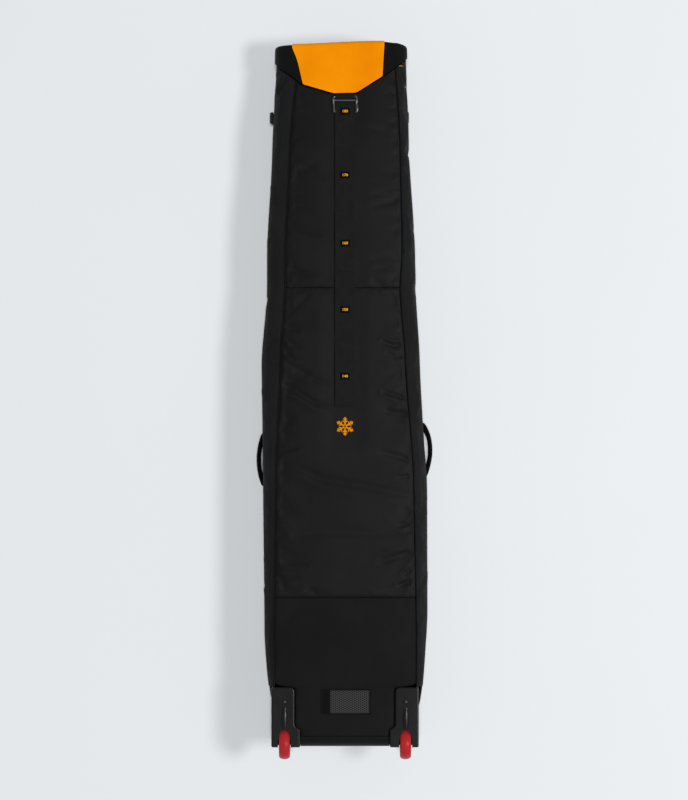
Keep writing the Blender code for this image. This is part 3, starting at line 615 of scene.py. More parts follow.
def stitches(name, path, body, mat="black_thread", pitch=0.0046, length=0.0030, radius=0.00042, lift=0.0003):
    """A run of sewn stitches along a path of (point, normal) pairs."""
    verts = []
    faces = []
    carried = 0.0
    for (a, na), (b, nb) in zip(path, path[1:]):
        a = Vector(a)
        b = Vector(b)
        span = (b - a).length
        if span < 1e-6:
            continue
        ahead = (b - a) / span
        at = pitch - carried
        while at <= span:
            t = at / span
            up = (Vector(na).lerp(Vector(nb), t)).normalized()
            side = ahead.cross(up).normalized()
            middle = a.lerp(b, t) + up * lift
            base = len(verts)
            for end, grow in ((-0.5, 0.35), (-0.3, 1.0), (0.3, 1.0), (0.5, 0.35)):
                drop = -0.5 * radius if abs(end) > 0.4 else 0.0
                for ca, sa in circle(5):
                    place = middle + ahead * (end * length) + side * (ca * radius * grow)
                    verts.append(place + up * (sa * radius * grow + drop))
            for ring in range(3):
                for k in range(5):
                    p = base + ring * 5 + k
                    q = base + ring * 5 + (k + 1) % 5
                    faces.append((p, q, q + 5, p + 5))
            faces.append(tuple(base + k for k in range(5)))
            faces.append(tuple(base + 15 + k for k in range(5)))
            at += pitch
        carried = span - (at - pitch)
    if not verts:
        return None
    return piece(name, verts, faces, mat, body)


# ---- padded back ----
# soft creases of the back, metres: points across the panel, depth and half width
FOLDS = (
    (((-0.152, 0.037), (-0.112, 0.016), (-0.077, -0.006), (-0.031, -0.018)), 0.0036, 0.0075),
    (((-0.150, 0.098), (-0.112, 0.076), (-0.080, 0.055), (-0.040, 0.042)), 0.0020, 0.0080),
    (((-0.158, 0.131), (-0.145, 0.116), (-0.132, 0.106)), 0.0030, 0.0045),
    (((-0.157, 0.166), (-0.140, 0.149), (-0.118, 0.134)), 0.0026, 0.0050),
    (((-0.157, 0.190), (-0.138, 0.182), (-0.120, 0.179)), 0.0020, 0.0050),
    (((0.150, 0.145), (0.125, 0.140), (0.097, 0.150)), 0.0034, 0.0048),
    (((0.153, 0.118), (0.130, 0.112), (0.108, 0.118)), 0.0022, 0.0050),
    (((0.100, 0.022), (0.130, 0.012), (0.169, 0.002)), 0.0034, 0.0052),
    (((0.167, 0.030), (0.150, 0.024), (0.138, 0.026)), 0.0026, 0.0042),
    (((0.168, -0.031), (0.140, -0.033), (0.106, -0.027)), 0.0026, 0.0060),
    (((-0.174, -0.169), (-0.110, -0.176), (-0.055, -0.202), (0.055, -0.219), (0.175, -0.246)), 0.0028,
        0.0105),
    (((-0.125, -0.340), (-0.047, -0.334), (0.018, -0.334), (0.066, -0.341), (0.172, -0.332)), 0.0022, 0.0120),
    (((0.178, -0.384), (0.140, -0.396), (0.092, -0.412)), 0.0034, 0.0090),
    (((0.179, -0.424), (0.165, -0.432), (0.150, -0.444)), 0.0040, 0.0042),
    (((0.179, -0.457), (0.160, -0.463), (0.138, -0.472)), 0.0040, 0.0044),
    (((0.176, -0.156), (0.140, -0.144), (0.092, -0.132)), 0.0024, 0.0070),
    (((0.177, -0.191), (0.158, -0.193), (0.136, -0.196)), 0.0028, 0.0042),
    (((0.178, -0.306), (0.160, -0.316), (0.140, -0.318)), 0.0026, 0.0048),
    (((-0.172, -0.127), (-0.150, -0.128), (-0.125, -0.124)), 0.0024, 0.0045),
    (((-0.158, -0.412), (-0.130, -0.415), (-0.100, -0.421)), 0.0024, 0.0055),
    (((-0.176, -0.452), (-0.150, -0.456), (-0.120, -0.452)), 0.0020, 0.0050),
    (((-0.150, 0.455), (-0.120, 0.440), (-0.070, 0.425)), 0.0020, 0.0080),
    (((0.145, 0.520), (0.110, 0.505), (0.075, 0.500)), 0.0018, 0.0080),
    (((-0.140, 0.610), (-0.105, 0.600), (-0.060, 0.570)), 0.0018, 0.0090),
    (((0.140, 0.660), (0.100, 0.690), (0.060, 0.700)), 0.0016, 0.0090),
    (((-0.145, 0.335), (-0.120, 0.330), (-0.085, 0.322)), 0.0018, 0.0060),
    (((0.140, 0.330), (0.110, 0.340), (0.080, 0.338)), 0.0016, 0.0060),
)
# short creases across the side walls
SIDE_FOLDS = (
    (((-0.200, 0.146), (-0.185, 0.152), (-0.168, 0.163)), 0.0030, 0.0045),
    (((-0.205, 0.024), (-0.190, 0.019), (-0.174, 0.017)), 0.0034, 0.0040),
    (((-0.200, 0.030), (-0.186, 0.033), (-0.174, 0.030)), 0.0024, 0.0035),
    (((-0.190, 0.240), (-0.176, 0.232), (-0.162, 0.228)), 0.0026, 0.0045),
    (((-0.208, -0.478), (-0.195, -0.486), (-0.184, -0.492)), 0.0034, 0.0042),
    (((-0.206, -0.400), (-0.195, -0.404), (-0.184, -0.402)), 0.0022, 0.0040),
    (((-0.206, -0.160), (-0.195, -0.168), (-0.184, -0.164)), 0.0020, 0.0040),
    (((-0.190, 0.560), (-0.172, 0.552), (-0.155, 0.556)), 0.0022, 0.0050),
    (((-0.196, 0.420), (-0.180, 0.410), (-0.162, 0.404)), 0.0024, 0.0050),
    (((0.147, 0.203), (0.158, 0.202), (0.174, 0.186)), 0.0038, 0.0050),
    (((0.150, 0.168), (0.162, 0.160), (0.178, 0.140)), 0.0030, 0.0046),
    (((0.147, 0.262), (0.158, 0.270), (0.172, 0.272)), 0.0024, 0.0045),
    (((0.183, -0.240), (0.192, -0.252), (0.203, -0.250)), 0.0022, 0.0032),
    (((0.184, -0.270), (0.194, -0.284), (0.205, -0.286)), 0.0022, 0.0030),
    (((0.184, -0.300), (0.195, -0.312), (0.205, -0.316)), 0.0022, 0.0030),
    (((0.184, -0.330), (0.195, -0.342), (0.205, -0.346)), 0.0022, 0.0030),
    (((0.184, -0.362), (0.195, -0.374), (0.205, -0.376)), 0.0020, 0.0030),
    (((0.186, -0.484), (0.192, -0.476), (0.204, -0.450)), 0.0034, 0.0040),
    (((0.145, 0.470), (0.156, 0.462), (0.170, 0.458)), 0.0020, 0.0045),
    (((0.143, 0.640), (0.152, 0.632), (0.164, 0.640)), 0.0020, 0.0045),
    (((-0.150, 0.842), (-0.162, 0.812), (-0.175, 0.782)), 0.0050, 0.0040),
    (((-0.158, 0.850), (-0.176, 0.836)), 0.0030, 0.0040),
    (((0.142, 0.852), (0.151, 0.828), (0.1555, 0.796), (0.157, 0.760)), 0.0050, 0.0032),
    (((0.138, 0.800), (0.147, 0.775), (0.152, 0.740)), 0.0030, 0.0035),
)


# creases reach their full depth one 24th of the width in from a sewn side
EDGE_HOLD = 24.0


def fold_depth(x, y, folds):
    """Signed height of the creases at one place: a valley with a soft ridge beside it."""
    total = 0.0
    for line, depth, width in folds:
        reach = 4.0 * width
        if y > max(p[1] for p in line) + reach or y < min(p[1] for p in line) - reach:
            continue
        if x > max(p[0] for p in line) + reach or x < min(p[0] for p in line) - reach:
            continue
        best = None
        run = 0.0
        whole = sum(math.dist(a, b) for a, b in zip(line, line[1:]))
        for a, b in zip(line, line[1:]):
            dx = b[0] - a[0]
            dy = b[1] - a[1]
            size = math.hypot(dx, dy)
            t = min(1.0, max(0.0, ((x - a[0]) * dx + (y - a[1]) * dy) / (size * size)))
            gap = math.hypot(x - a[0] - t * dx, y - a[1] - t * dy)
            side = math.copysign(1.0, (x - a[0]) * dy - (y - a[1]) * dx)
            if best is None or gap < best[0]:
                best = (gap, side, (run + t * size) / whole)
            run += size
        gap, side, t = best
        fade = math.sin(math.pi * min(0.96, max(0.04, 0.12 + 0.80 * t))) ** 0.5
        valley = math.exp(-((gap * side / width) ** 2))
        ridge = math.exp(-(((gap * side - 1.9 * width) / (1.3 * width)) ** 2))
        total += fade * depth * (0.55 * ridge - valley)
    return total


def denser(grid, ways=2):
    """The same surface with a point added between every two rows, and columns when `ways` is 2."""
    for axis in range(ways):
        grid = np.moveaxis(grid, axis, 0)
        count = grid.shape[0]
        out = np.empty((2 * count - 1,) + grid.shape[1:])
        out[::2] = grid
        before = np.concatenate((grid[:1], grid[:-2]))
        after = np.concatenate((grid[2:], grid[-1:]))
        out[1::2] = 0.5625 * (grid[:-1] + grid[1:]) - 0.0625 * (before + after)
        out[1] = 0.5 * (grid[0] + grid[1])
        out[-2] = 0.5 * (grid[-1] + grid[-2])
        grid = np.moveaxis(out, 0, axis)
    return grid.copy()


def crease(grid, folds, fade_edges=True):
    """Press the creases into a grid of points along its normals, fading out at the sewn sides."""
    rows, cols = grid.shape[:2]
    normal = grid_normals(grid)
    for r in range(1, rows - 1):
        for c in range(1, cols - 1):
            x, y = grid[r, c, 0], grid[r, c, 1]
            near = EDGE_HOLD * min(c, cols - 1 - c) / cols
            hold = min(1.0, near) if fade_edges else 1.0
            grid[r, c] += normal[r, c] * fold_depth(x, y, folds) * hold
    return grid


# depth of the dip beside a seam, and how far it reaches
SEAM_DIP = 0.0009
SEAM_DIP_REACH = 0.0045


def back_grid(y_start, y_end, rows, cols):
    """Rest surface of one padded back piece, its edges sunk into the seams."""
    grid = np.empty((rows, cols, 3))
    for r in range(rows):
        v = r / (rows - 1)
        y = lerp(y_start, y_end, v)
        cut = spread(y)
        left = -cut[2] + PIPING_CLEAR
        right = cut[3] - PIPING_CLEAR
        for c in range(cols):
            u = c / (cols - 1)
            x = lerp(left, right, u)
            across = min(u, 1.0 - u) * (right - left)
            along = min(v, 1.0 - v) * (y_start - y_end)
            sink = SEAM_DIP * math.exp(-min(across, along) / SEAM_DIP_REACH)
            grid[r, c] = (x, y, back_height(x, y) - sink)
    return grid


# word in the name, start, end, rows, columns, spare cloth, pressure and most movement
BACK_PIECES = (
    ("upper", TOP_Y - 0.006, SEAM_UPPER_Y + 0.0002, 78, 38, 0.007, 0.22, 0.0018),
    ("middle", SEAM_UPPER_Y - 0.0002, SEAM_LOWER_Y + 0.0002, 100, 46, 0.009, 0.28, 0.0024),
    ("lower", SEAM_LOWER_Y - 0.0002, SEAM_BASE_Y + 0.0002, 46, 46, 0.002, 0.10, 0.0012),
)


def build_back():
    """Three padded back pieces with cross seams."""
    for seed, (word, start, end, rows, cols, growth, pressure, cap) in enumerate(BACK_PIECES):
        rest = back_grid(start, end, rows, cols)
        grid = settle(rest, growth, pressure, cap, seed * 3.1)
        if word != "lower":
            rest = denser(rest)
            grid = denser(grid)
        grid = hold_under(crease(grid, FOLDS), rest)
        if word == "lower":
            build_lower(grid)
            continue
        made = thick_sheet("back_%s_cloth" % word, grid, PAD, "back", "shell")
        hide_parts("back_panel_" + word)


# places where something is sewn on top: low x, high x, low y, high y, how far the hold fades
SEWN_ON = (
    (-0.0255, 0.0255, -0.100, 0.800, 0.045), (-0.063, 0.068, -0.803, -0.733, 0.020),
)


def hold_under(grid, rest):
    """Keep the puffed cloth from rising through whatever is sewn on top of it."""
    rows, cols = grid.shape[:2]
    for r in range(rows):
        for c in range(cols):
            x, y = rest[r, c, 0], rest[r, c, 1]
            mask = 0.0
            for x0, x1, y0, y1, fade in SEWN_ON:
                gap = math.hypot(max(x0 - x, 0.0, x - x1), max(y0 - y, 0.0, y - y1))
                mask = max(mask, 1.0 - smooth(gap / fade))
            rise = grid[r, c, 2] - rest[r, c, 2]
            if rise > 0.0:
                grid[r, c, 2] = rest[r, c, 2] + rise * (1.0 - mask)
            else:
                grid[r, c, 2] = rest[r, c, 2] + rise * (1.0 - 0.6 * mask)
    return grid


def build_lower(grid):
    """Stiff lower back, cut away round the wheel housings by narrowing its rows."""
    rows, cols = grid.shape[:2]
    wide = max(r for r in range(rows) if grid[r, cols // 2, 1] > HOUSING_TOP_Y + 0.0030)
    grid[wide, :, 1] = HOUSING_TOP_Y + 0.0018
    grid[wide + 1, :, 1] = HOUSING_TOP_Y + 0.0008
    for r in range(rows):
        y = grid[r, cols // 2, 1]
        for c in range(cols):
            x = grid[r, c, 0]
            limit = 0.5
            if y < HOUSING_TOP_Y + 0.0014:
                limit = HOUSING_IN_X - 0.0012
                if y < -0.828:
                    limit = lerp(HOUSING_IN_X, HOUSING_FLARE_X, smooth((-0.828 - y) / 0.016)) - 0.0012
            if limit < 0.5:
                x = x / (seam_at(y, x) - PIPING_CLEAR) * limit
                grid[r, c] = (x, y, back_height(x, y) - 0.0022 * math.exp(-(limit - abs(x)) / 0.006))
    made = thick_sheet("back_lower_cloth", grid, PAD - 0.002, "lower", "shell")
    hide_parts("back_panel_lower")


# ---- side walls and ends ----
def side_limit(y, side):
    """Widest the side wall gets near the wheel end, where it is pulled in to the housings."""
    marks = ((-0.520, 0.300), (-0.560, 0.2085), (-0.620, 0.2045), (-0.672, 0.2020), (-0.724, 0.1955),
        (-0.776, 0.1885), (-0.800, 0.1872))
    if side > 0:
        marks = ((-0.700, 0.300), (-0.740, 0.1960), (-0.790, 0.1890), (-0.820, 0.1876))
    if y >= marks[0][0]:
        return 0.300
    for a, b in zip(marks, marks[1:]):
        if y >= b[0]:
            t = (a[0] - y) / (a[0] - b[0])
            start = b[1] + 0.004 if a[1] > 0.25 else a[1]
            return lerp(start, b[1], t)
    return marks[-1][1]


def side_bulge(y, z):
    """Slack swell of the right wall along the lower half."""
    along = smooth((-0.10 - y) / 0.14) * smooth((y + 0.640) / 0.10)
    return along * math.sin(math.pi * min(1.0, max(0.0, z / 0.215)))


# share of the columns above the belly, and above the foot
BELLY_SHARE = 0.42
FOOT_SHARE = 0.82


def side_grid(side, y_start, y_end, rows, cols):
    """Rest surface of one side wall from the back seam to the front rim."""
    grid = np.empty((rows, cols, 3))
    for r in range(rows):
        y = lerp(y_start, y_end, r / (rows - 1))
        for c in range(cols):
            u = c / (cols - 1)
            t = (u / BELLY_SHARE) ** 1.6
            if u >= BELLY_SHARE:
                t = 1.0 + (u - BELLY_SHARE) / 0.40
            if u >= FOOT_SHARE:
                t = 2.0 + (u - FOOT_SHARE) / 0.18
            half, z = side_point(y, side, min(3.0, t))
            half = min(half, side_limit(y, side))
            half += 0.0040 * side_bulge(y, z) if side > 0 else 0.0
            grid[r, c] = (side * half, y, z)
    return grid


def build_sides():
    """Both side walls, puffed and creased, cut away where the housings sit."""
    for side, word in SIDES:
        grid = side_grid(side, TOP_Y - 0.0062, BASE_Y + 0.0066, 170, 44)
        normal = grid_normals(grid)
        flip = -1.0 if normal[80, 6, 0] * side < 0 else 1.0
        rest = denser(grid, 1)
        grid = settle_side(grid, flip)
        hold = np.clip((grid[:, :, 2] - 0.004) / 0.02, 0.0, 1.0)[:, :, None]
        grid = rest + (grid - rest) * hold
        grid[:, :, 2] = np.maximum(grid[:, :, 2], 0.0)
        made = thick_sheet("side_" + word + "_cloth", grid, 0.0045, "side", "shell",
            flip=flip)
        cut_for_housing(made, side)
        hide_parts("side_gusset_" + word)


def settle_side(grid, flip):
    """Puff one side wall and press its creases in."""
    if flip > 0:
        moved = settle(grid, 0.009, 0.30, 0.0035, 5.3)
        return crease(denser(moved, 1), SIDE_FOLDS, False)
    turned = grid[:, ::-1].copy()
    moved = settle(turned, 0.009, 0.30, 0.0018, 9.1)
    return crease(denser(moved, 1), SIDE_FOLDS, False)[:, ::-1].copy()


def cut_for_housing(obj, side):
    """Take away the cloth where a moulded housing sits."""
    outline = (
        (HOUSING_IN_X - 0.0003, HOUSING_TOP_Y + 0.0003), (0.30, HOUSING_TOP_Y + 0.0003), (0.30, -0.95),
        (HOUSING_FLARE_X - 0.0003, -0.95), (HOUSING_FLARE_X - 0.0003, -0.844),
        (HOUSING_IN_X - 0.0003, -0.828),
    )
    carve(obj, [prism([(side * x, y) for x, y in outline], HOUSING_FLOOR_Z - 0.0010, 0.30)])


def bake(obj):
    """Apply every modifier to the mesh itself."""
    ready = obj.evaluated_get(bpy.context.evaluated_depsgraph_get())
    mesh = bpy.data.meshes.new_from_object(ready)
    mesh.name = obj.name
    obj.modifiers.clear()
    obj.data = mesh


def half_width_at(z, side):
    """Half width of the wheel-end section at one height."""
    last = side_point(BASE_Y, side, 0.0)
    for i in range(1, 25):
        now = side_point(BASE_Y, side, i / 12.0)
        if last[1] >= z >= now[1]:
            t = (last[1] - z) / max(1e-9, last[1] - now[1])
            return lerp(last[0], now[0], t)
        last = now
    return side_point(BASE_Y, side, 0.0)[0] if z > 0.1 else last[0]


def build_ends():
    """Wheel-end wall turned over onto the back, and the wall under the flap."""
    height = spread(BASE_Y)[4]
    turn = SEAM_BASE_Y - BASE_Y
    path = []
    for i in range(11):
        angle = math.radians(9.0 * i)
        path.append((SEAM_BASE_Y - turn * math.sin(angle) - 0.0004, height - turn * (1.0 - math.cos(angle)),
            math.cos(angle)))
    for i in range(1, 22):
        path.append((BASE_Y, (height - turn) * (1.0 - i / 21.0), 0.0))
    grid = np.empty((len(path), 41, 3))
    for r, (y, z, up) in enumerate(path):
        left = half_width_at(z, -1) - 0.0005
        right = half_width_at(z, 1) - 0.0005
        for c in range(41):
            x = lerp(-left, right, c / 40)
            swell = 0.0030 * (1.0 - up) * math.sin(math.pi * c / 40) * math.sin(math.pi * min(1.0, z / 0.2))
            crown = CROWN * up * (1.0 - min(1.0, abs(x) / 0.18) ** 2)
            grid[r, c] = (x, y - swell, z + crown)
    flip = 1.0 if grid_normals(grid)[20, 20, 1] < 0.0 else -1.0
    made = thick_sheet("base_end_cloth", grid, 0.0052, "lower", "shell", flip=flip)
    for side in (-1, 1):
        cut_for_housing(made, side)
    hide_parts("end_panel_base")
    build_top_end()


def build_top_end():
    """Wall that closes the top end under the flap."""
    rows = 18
    cols = 33
    grid = np.empty((rows, cols, 3))
    for r in range(rows):
        v = r / (rows - 1)
        for c in range(cols):
            u = 2.0 * c / (cols - 1) - 1.0
            side = -1 if u < 0 else 1
            t = lerp(0.0, 2.0, v)
            half, z = side_point(TOP_Y, side, t)
            crown = CROWN * (1.0 - u * u) * (1.0 - v)
            swell = 0.0022 * math.sin(math.pi * v) * (1.0 - u * u)
            grid[r, c] = (u * half, TOP_Y + swell - 0.0004, z + crown)
    flip = 1.0 if grid_normals(grid)[9, 16, 1] > 0.0 else -1.0
    made = thick_sheet("top_end_cloth", grid, 0.0050, "side", "shell", flip=flip)
    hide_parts("end_panel_top")


def build_front():
    """Padded front panel: flat where it rests, crowned on the inside."""
    top = TOP_Y - 0.012
    base = BASE_Y + 0.012
    rows = 60
    cols = 17
    verts = []
    for layer in (0, 1):
        for r in range(rows):
            v = r / (rows - 1)
            y = lerp(top, base, v)
            right = rim_x(y, 1) - ZIP_ROOM
            left = HINGE_X + 0.001
            for c in range(cols):
                u = c / (cols - 1)
                x = lerp(left, right, u)
                rise = math.sin(math.pi * min(1.0, max(0.0, u))) ** 0.4 * math.sin(math.pi * v) ** 0.25
                wave = 0.0008 * noise.noise(Vector((x * 30.0, y * 30.0, 0.0)))
                verts.append((x, y, 0.0012 if layer == 0 else 0.0062 + 0.0048 * rise + wave * rise))
    faces = slab_faces(rows, cols)
    made = piece("front_panel_cloth", verts, faces, "front", "lid", 50.0)
    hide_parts("front_panel")
    inset = 0.007
    ring = [
        (HINGE_X + inset, top - inset), (rim_x(top, 1) - ZIP_ROOM - inset, top - inset),
        (rim_x(base, 1) - ZIP_ROOM - inset, base + inset), (HINGE_X + inset, base + inset),
        (HINGE_X + inset, top - inset),
    ]
    for word, z, up in (("outside", 0.0010, -1.0), ("inside", 0.0085, 1.0)):
        path = []
        for (ax, ay), (bx, by) in zip(ring, ring[1:]):
            for k in range(12):
                path.append(((lerp(ax, bx, k / 12), lerp(ay, by, k / 12), z), (0.0, 0.0, up)))
        stitches("front_stitch_" + word, path, "lid", pitch=0.0052)


# ---- webbing, tags, emblem and window ----
def chain_height(y):
    """Underside of the looped webbing, sewn down at its bars."""
    marks = (CHAIN_TOP_Y,) + CHAIN_STITCHES + (CHAIN_END_Y,)
    lift = 0.0
    for upper, lower in zip(marks, marks[1:]):
        if upper >= y >= lower:
            lift = CHAIN_LIFT * math.sin(math.pi * (upper - y) / (upper - lower)) ** 0.5
    return spread(y)[4] + CROWN + 0.0006 + lift


def build_webbing():
    """Hook-loop webbing with its bartacks, edge stitching and the numbers on its tags."""
    rows = 157
    half = 0.0248
    across = (-half, -half + 0.0005, -half + 0.0022, -half + 0.006, -0.010, 0.0, 0.010, half - 0.006,
        half - 0.0022, half - 0.0005, half)
    grid = np.empty((rows, len(across), 3))
    for r in range(rows):
        y = lerp(CHAIN_TOP_Y, CHAIN_END_Y, r / (rows - 1))
        low = chain_height(y)
        for c, x in enumerate(across):
            wave = 0.0004 * noise.noise(Vector((x * 20.0, y * 14.0, 2.0)))
            curl = 0.0004 * (abs(x) / half) ** 4
            grid[r, c] = (x, y, low + 0.0015 + wave + curl)
    made = thick_sheet("hook_loop_tape", grid, 0.0014, "web", "shell", 60.0)
    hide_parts("hook_loop_webbing")
    for i, y in enumerate(CHAIN_STITCHES + (CHAIN_END_Y + 0.004, CHAIN_TOP_Y - 0.004)):
        z = chain_height(y) + 0.0017
        for shift in (-0.0016, 0.0016):
            path = [((lerp(-0.0215, 0.0215, k / 14), y + shift, z), UP) for k in range(15)]
            stitches("tape_bar_%d_%s" % (i, "a" if shift < 0 else "b"), path, "shell", pitch=0.0016,
                length=0.0015, radius=0.0008)
    for side, word in SIDES:
        path = []
        for k in range(190):
            y = lerp(CHAIN_TOP_Y - 0.002, CHAIN_END_Y + 0.002, k / 189)
            path.append(((side * 0.0226, y, chain_height(y) + 0.0016), UP))
        stitches("tape_edge_" + word, path, "shell", pitch=0.0038, radius=0.00034, lift=0.0001)
    for word, y in TAGS:
        node = "length_tag_" + word
        low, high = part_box(node)
        middle = 0.5 * (low + high)
        draw_number(word, middle.x, middle.y, high.z)


def draw_number(word, x, y, z):
    """Printed numerals on one length tag."""
    curve = bpy.data.curves.new("digits_" + word, "FONT")
    curve.body = word
    curve.size = 0.0098
    curve.align_x = "CENTER"
    curve.align_y = "CENTER"
    curve.extrude = 0.00012
    curve.offset = 0.00018
    curve.resolution_u = 4
    obj = bpy.data.objects.new("digits_" + word, curve)
    bpy.context.scene.collection.objects.link(obj)
    mesh = bpy.data.meshes.new_from_object(obj.evaluated_get(bpy.context.evaluated_depsgraph_get()))
    bpy.data.objects.remove(obj)
    mesh.transform(Matrix.Translation((x, y, z + 0.00014)) @ Matrix.Diagonal((1.04, 0.94, 1.0, 1.0)))
    mesh.name = "number_" + word
    mesh.materials.clear()
    add_object("number_" + word, mesh, "number", "shell")


def build_badge():
    """Embroidered snowflake made of laid satin threads."""
    low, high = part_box("snowflake_badge")
    cy = 0.5 * (low.y + high.y)
    radius = 0.5 * (high.y - low.y)
    base = low.z + 0.0004
    verts = []
    faces = []
    bars = []
    for i in range(6):
        angle = math.radians(60.0 * i + 30.0)
        along = Vector((math.cos(angle), math.sin(angle), 0.0))
        bars.append((along * 0.002, along * (radius - 0.0012), 0.0022))
        for reach, size in ((0.010, 0.0080), (0.0165, 0.0058)):
            for turn in (-52.0, 52.0):
                way = Matrix.Rotation(math.radians(turn), 3, "Z") @ along
                bars.append((along * reach, along * reach + way * size, 0.0017))
    for a, b, half in bars:
        ahead = (b - a).normalized()
        across = Vector((-ahead.y, ahead.x, 0.0))
        count = max(4, int((b - a).length / 0.00055))
        for k in range(count):
            t = (k + 0.5) / count
            width = half * min(1.0, 6.0 * t + 0.4, 6.0 * (1.0 - t) + 0.4)
            place = a.lerp(b, t)
            lean = ahead * (0.25 * width)
            start = Vector((place.x, cy + place.y, base)) - across * width - lean
            end = Vector((place.x, cy + place.y, base)) + across * width + lean
            lift = Vector((0.0, 0.0, 0.0011))
            arch = (start, start.lerp(end, 0.25) + lift, start.lerp(end, 0.75) + lift, end)
            gather(verts, faces, tube_mesh(arch, (0.0002, 0.00036, 0.00036, 0.0002), 5))
    made = piece("snowflake_stitched", verts, faces, "thread", "shell")
    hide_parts("snowflake_badge")


def frame_ring(x0, x1, y0, y1, radius, steps=5):
    """Rounded rectangle outline, counter-clockwise."""
    ring = []
    for cx, cy, start in ((x1, y1, 0.0), (x0, y1, 90.0), (x0, y0, 180.0), (x1, y0, 270.0)):
        mx = cx - math.copysign(radius, cx - 0.5 * (x0 + x1))
        my = cy - math.copysign(radius, cy - 0.5 * (y0 + y1))
        for k in range(steps + 1):
            angle = math.radians(start + 90.0 * k / steps)
            ring.append((mx + radius * math.cos(angle), my + radius * math.sin(angle)))
    return ring


def loft_rings(name, rings, mat, body, close=True, sharp=50.0):
    """Closed band through equal rings; the last ring meets the first when `close`."""
    count = len(rings[0])
    verts = [p for ring in rings for p in ring]
    faces = []
    total = len(rings)
    for i in range(total if close else total - 1):
        j = (i + 1) % total
        for k in range(count):
            m = (k + 1) % count
            faces.append((i * count + k, i * count + m, j * count + m, j * count + k))
    if not close:
        faces.append(tuple(range(count)))
        faces.append(tuple(range((total - 1) * count, total * count)))
    return piece(name, verts, faces, mat, body, sharp)


def build_window():
    """Card pocket: sewn frame tape round a mesh window."""
    low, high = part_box("card_window_frame")
    inner_low, inner_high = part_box("card_window_mesh")
    base = low.z + 0.0001
    top = high.z
    rings = []
    profile = ((0.0, 0.0), (0.0, 0.6), (0.0012, 1.0), (0.5, 1.05), (0.94, 1.0), (1.0, 0.5), (1.0, 0.0))
    for t, up in profile:
        share = min(1.0, t)
        x0 = lerp(low.x + 0.0005, inner_low.x + 0.0002, share)
        x1 = lerp(high.x - 0.0005, inner_high.x - 0.0002, share)
        y0 = lerp(low.y + 0.0005, inner_low.y + 0.0002, share)
        y1 = lerp(high.y - 0.0005, inner_high.y - 0.0002, share)
        ring = frame_ring(x0, x1, y0, y1, lerp(0.0025, 0.0015, share))
        rings.append([(x, y, lerp(base, top, up)) for x, y in ring])
    made = loft_rings("card_pocket_frame", rings, "binding", "shell")
    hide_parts("card_window_frame")
    for i, (x0, x1, y0, y1) in enumerate((
        (low.x + 0.0022, high.x - 0.0016, low.y + 0.0018, high.y - 0.0018),
        (inner_low.x - 0.0016, inner_high.x + 0.0014, inner_low.y - 0.0014, inner_high.y + 0.0014),
    )):
        ring = frame_ring(x0, x1, y0, y1, 0.002)
        path = [((x, y, top), UP) for x, y in ring + ring[:1]]
        dense = []
        for (a, n), (b, _) in zip(path, path[1:]):
            dense += [((lerp(a[0], b[0], k / 6), lerp(a[1], b[1], k / 6), a[2]), n) for k in range(6)]
        stitches("pocket_stitch_%d" % i, dense, "shell", pitch=0.0036, length=0.0025, radius=0.0003, lift=0.0)
    x = lerp(low.x, inner_low.x, 0.55)
    path = [((x, lerp(low.y + 0.003, high.y - 0.003, k / 10), top), UP) for k in range(11)]
    stitches("pocket_spine_stitch", path, "shell", pitch=0.0036, length=0.0025, radius=0.0003, lift=0.0)


# ---- flap, strap and hook ----
HOOK_BAR_Y = 0.7785
HOOK_CROSS_Y = 0.7696
FLAP_ROLL = 0.0105
FLAP_TOP = ((-0.172, 0.9118), (-0.131, 0.9128), (0.098, 0.9205), (0.130, 0.9178), (0.158, 0.9130))
# edge of the flap: distance across and the y where its free edge runs
FLAP_LINE = (
    (-0.190, 0.877), (-0.173, 0.870), (-0.166, 0.8580), (-0.134, 0.8320), (-0.110, 0.8125), (-0.0300, 0.7882),
    (0.0290, 0.7895), (0.0952, 0.8325), (0.127, 0.8550), (0.148, 0.8765), (0.160, 0.890),
)


def flap_out(x):
    """How far the rolled end of the flap reaches at one distance across."""
    return between(FLAP_TOP, x, True)


def flap_edge(x):
    """Where the flap's free edge runs at one distance across."""
    return between(FLAP_LINE, x)


def skin(y, s):
    """Point and normal of the bag's upper skin at girth `s` from the middle, negative to the left."""
    side = -1 if s < 0 else 1
    seam = seam_at(y, side) + PIPING_CLEAR

    def place(girth):
        if girth <= seam:
            x = girth
            return Vector((side * x, 0.0, back_height(side * x, y)))
        half, z = side_point(y, side, min(2.0, (girth - seam) / 0.095))
        lift = 0.0010 * math.exp(-(girth - seam) / 0.004)
        return Vector((side * half, 0.0, z + lift))

    girth = abs(s)
    a = place(max(0.0, girth - 0.006))
    b = place(girth + 0.006)
    way = (b - a).normalized()
    normal = Vector((-way.z * side, 0.0, way.x * side))
    if normal.z < 0.0 and abs(normal.z) > abs(normal.x):
        normal = -normal
    if normal.x * side < 0.0 and abs(normal.x) > 0.2:
        normal = Vector((abs(normal.x) * side, 0.0, abs(normal.z)))
    here = place(girth)
    return here, normal


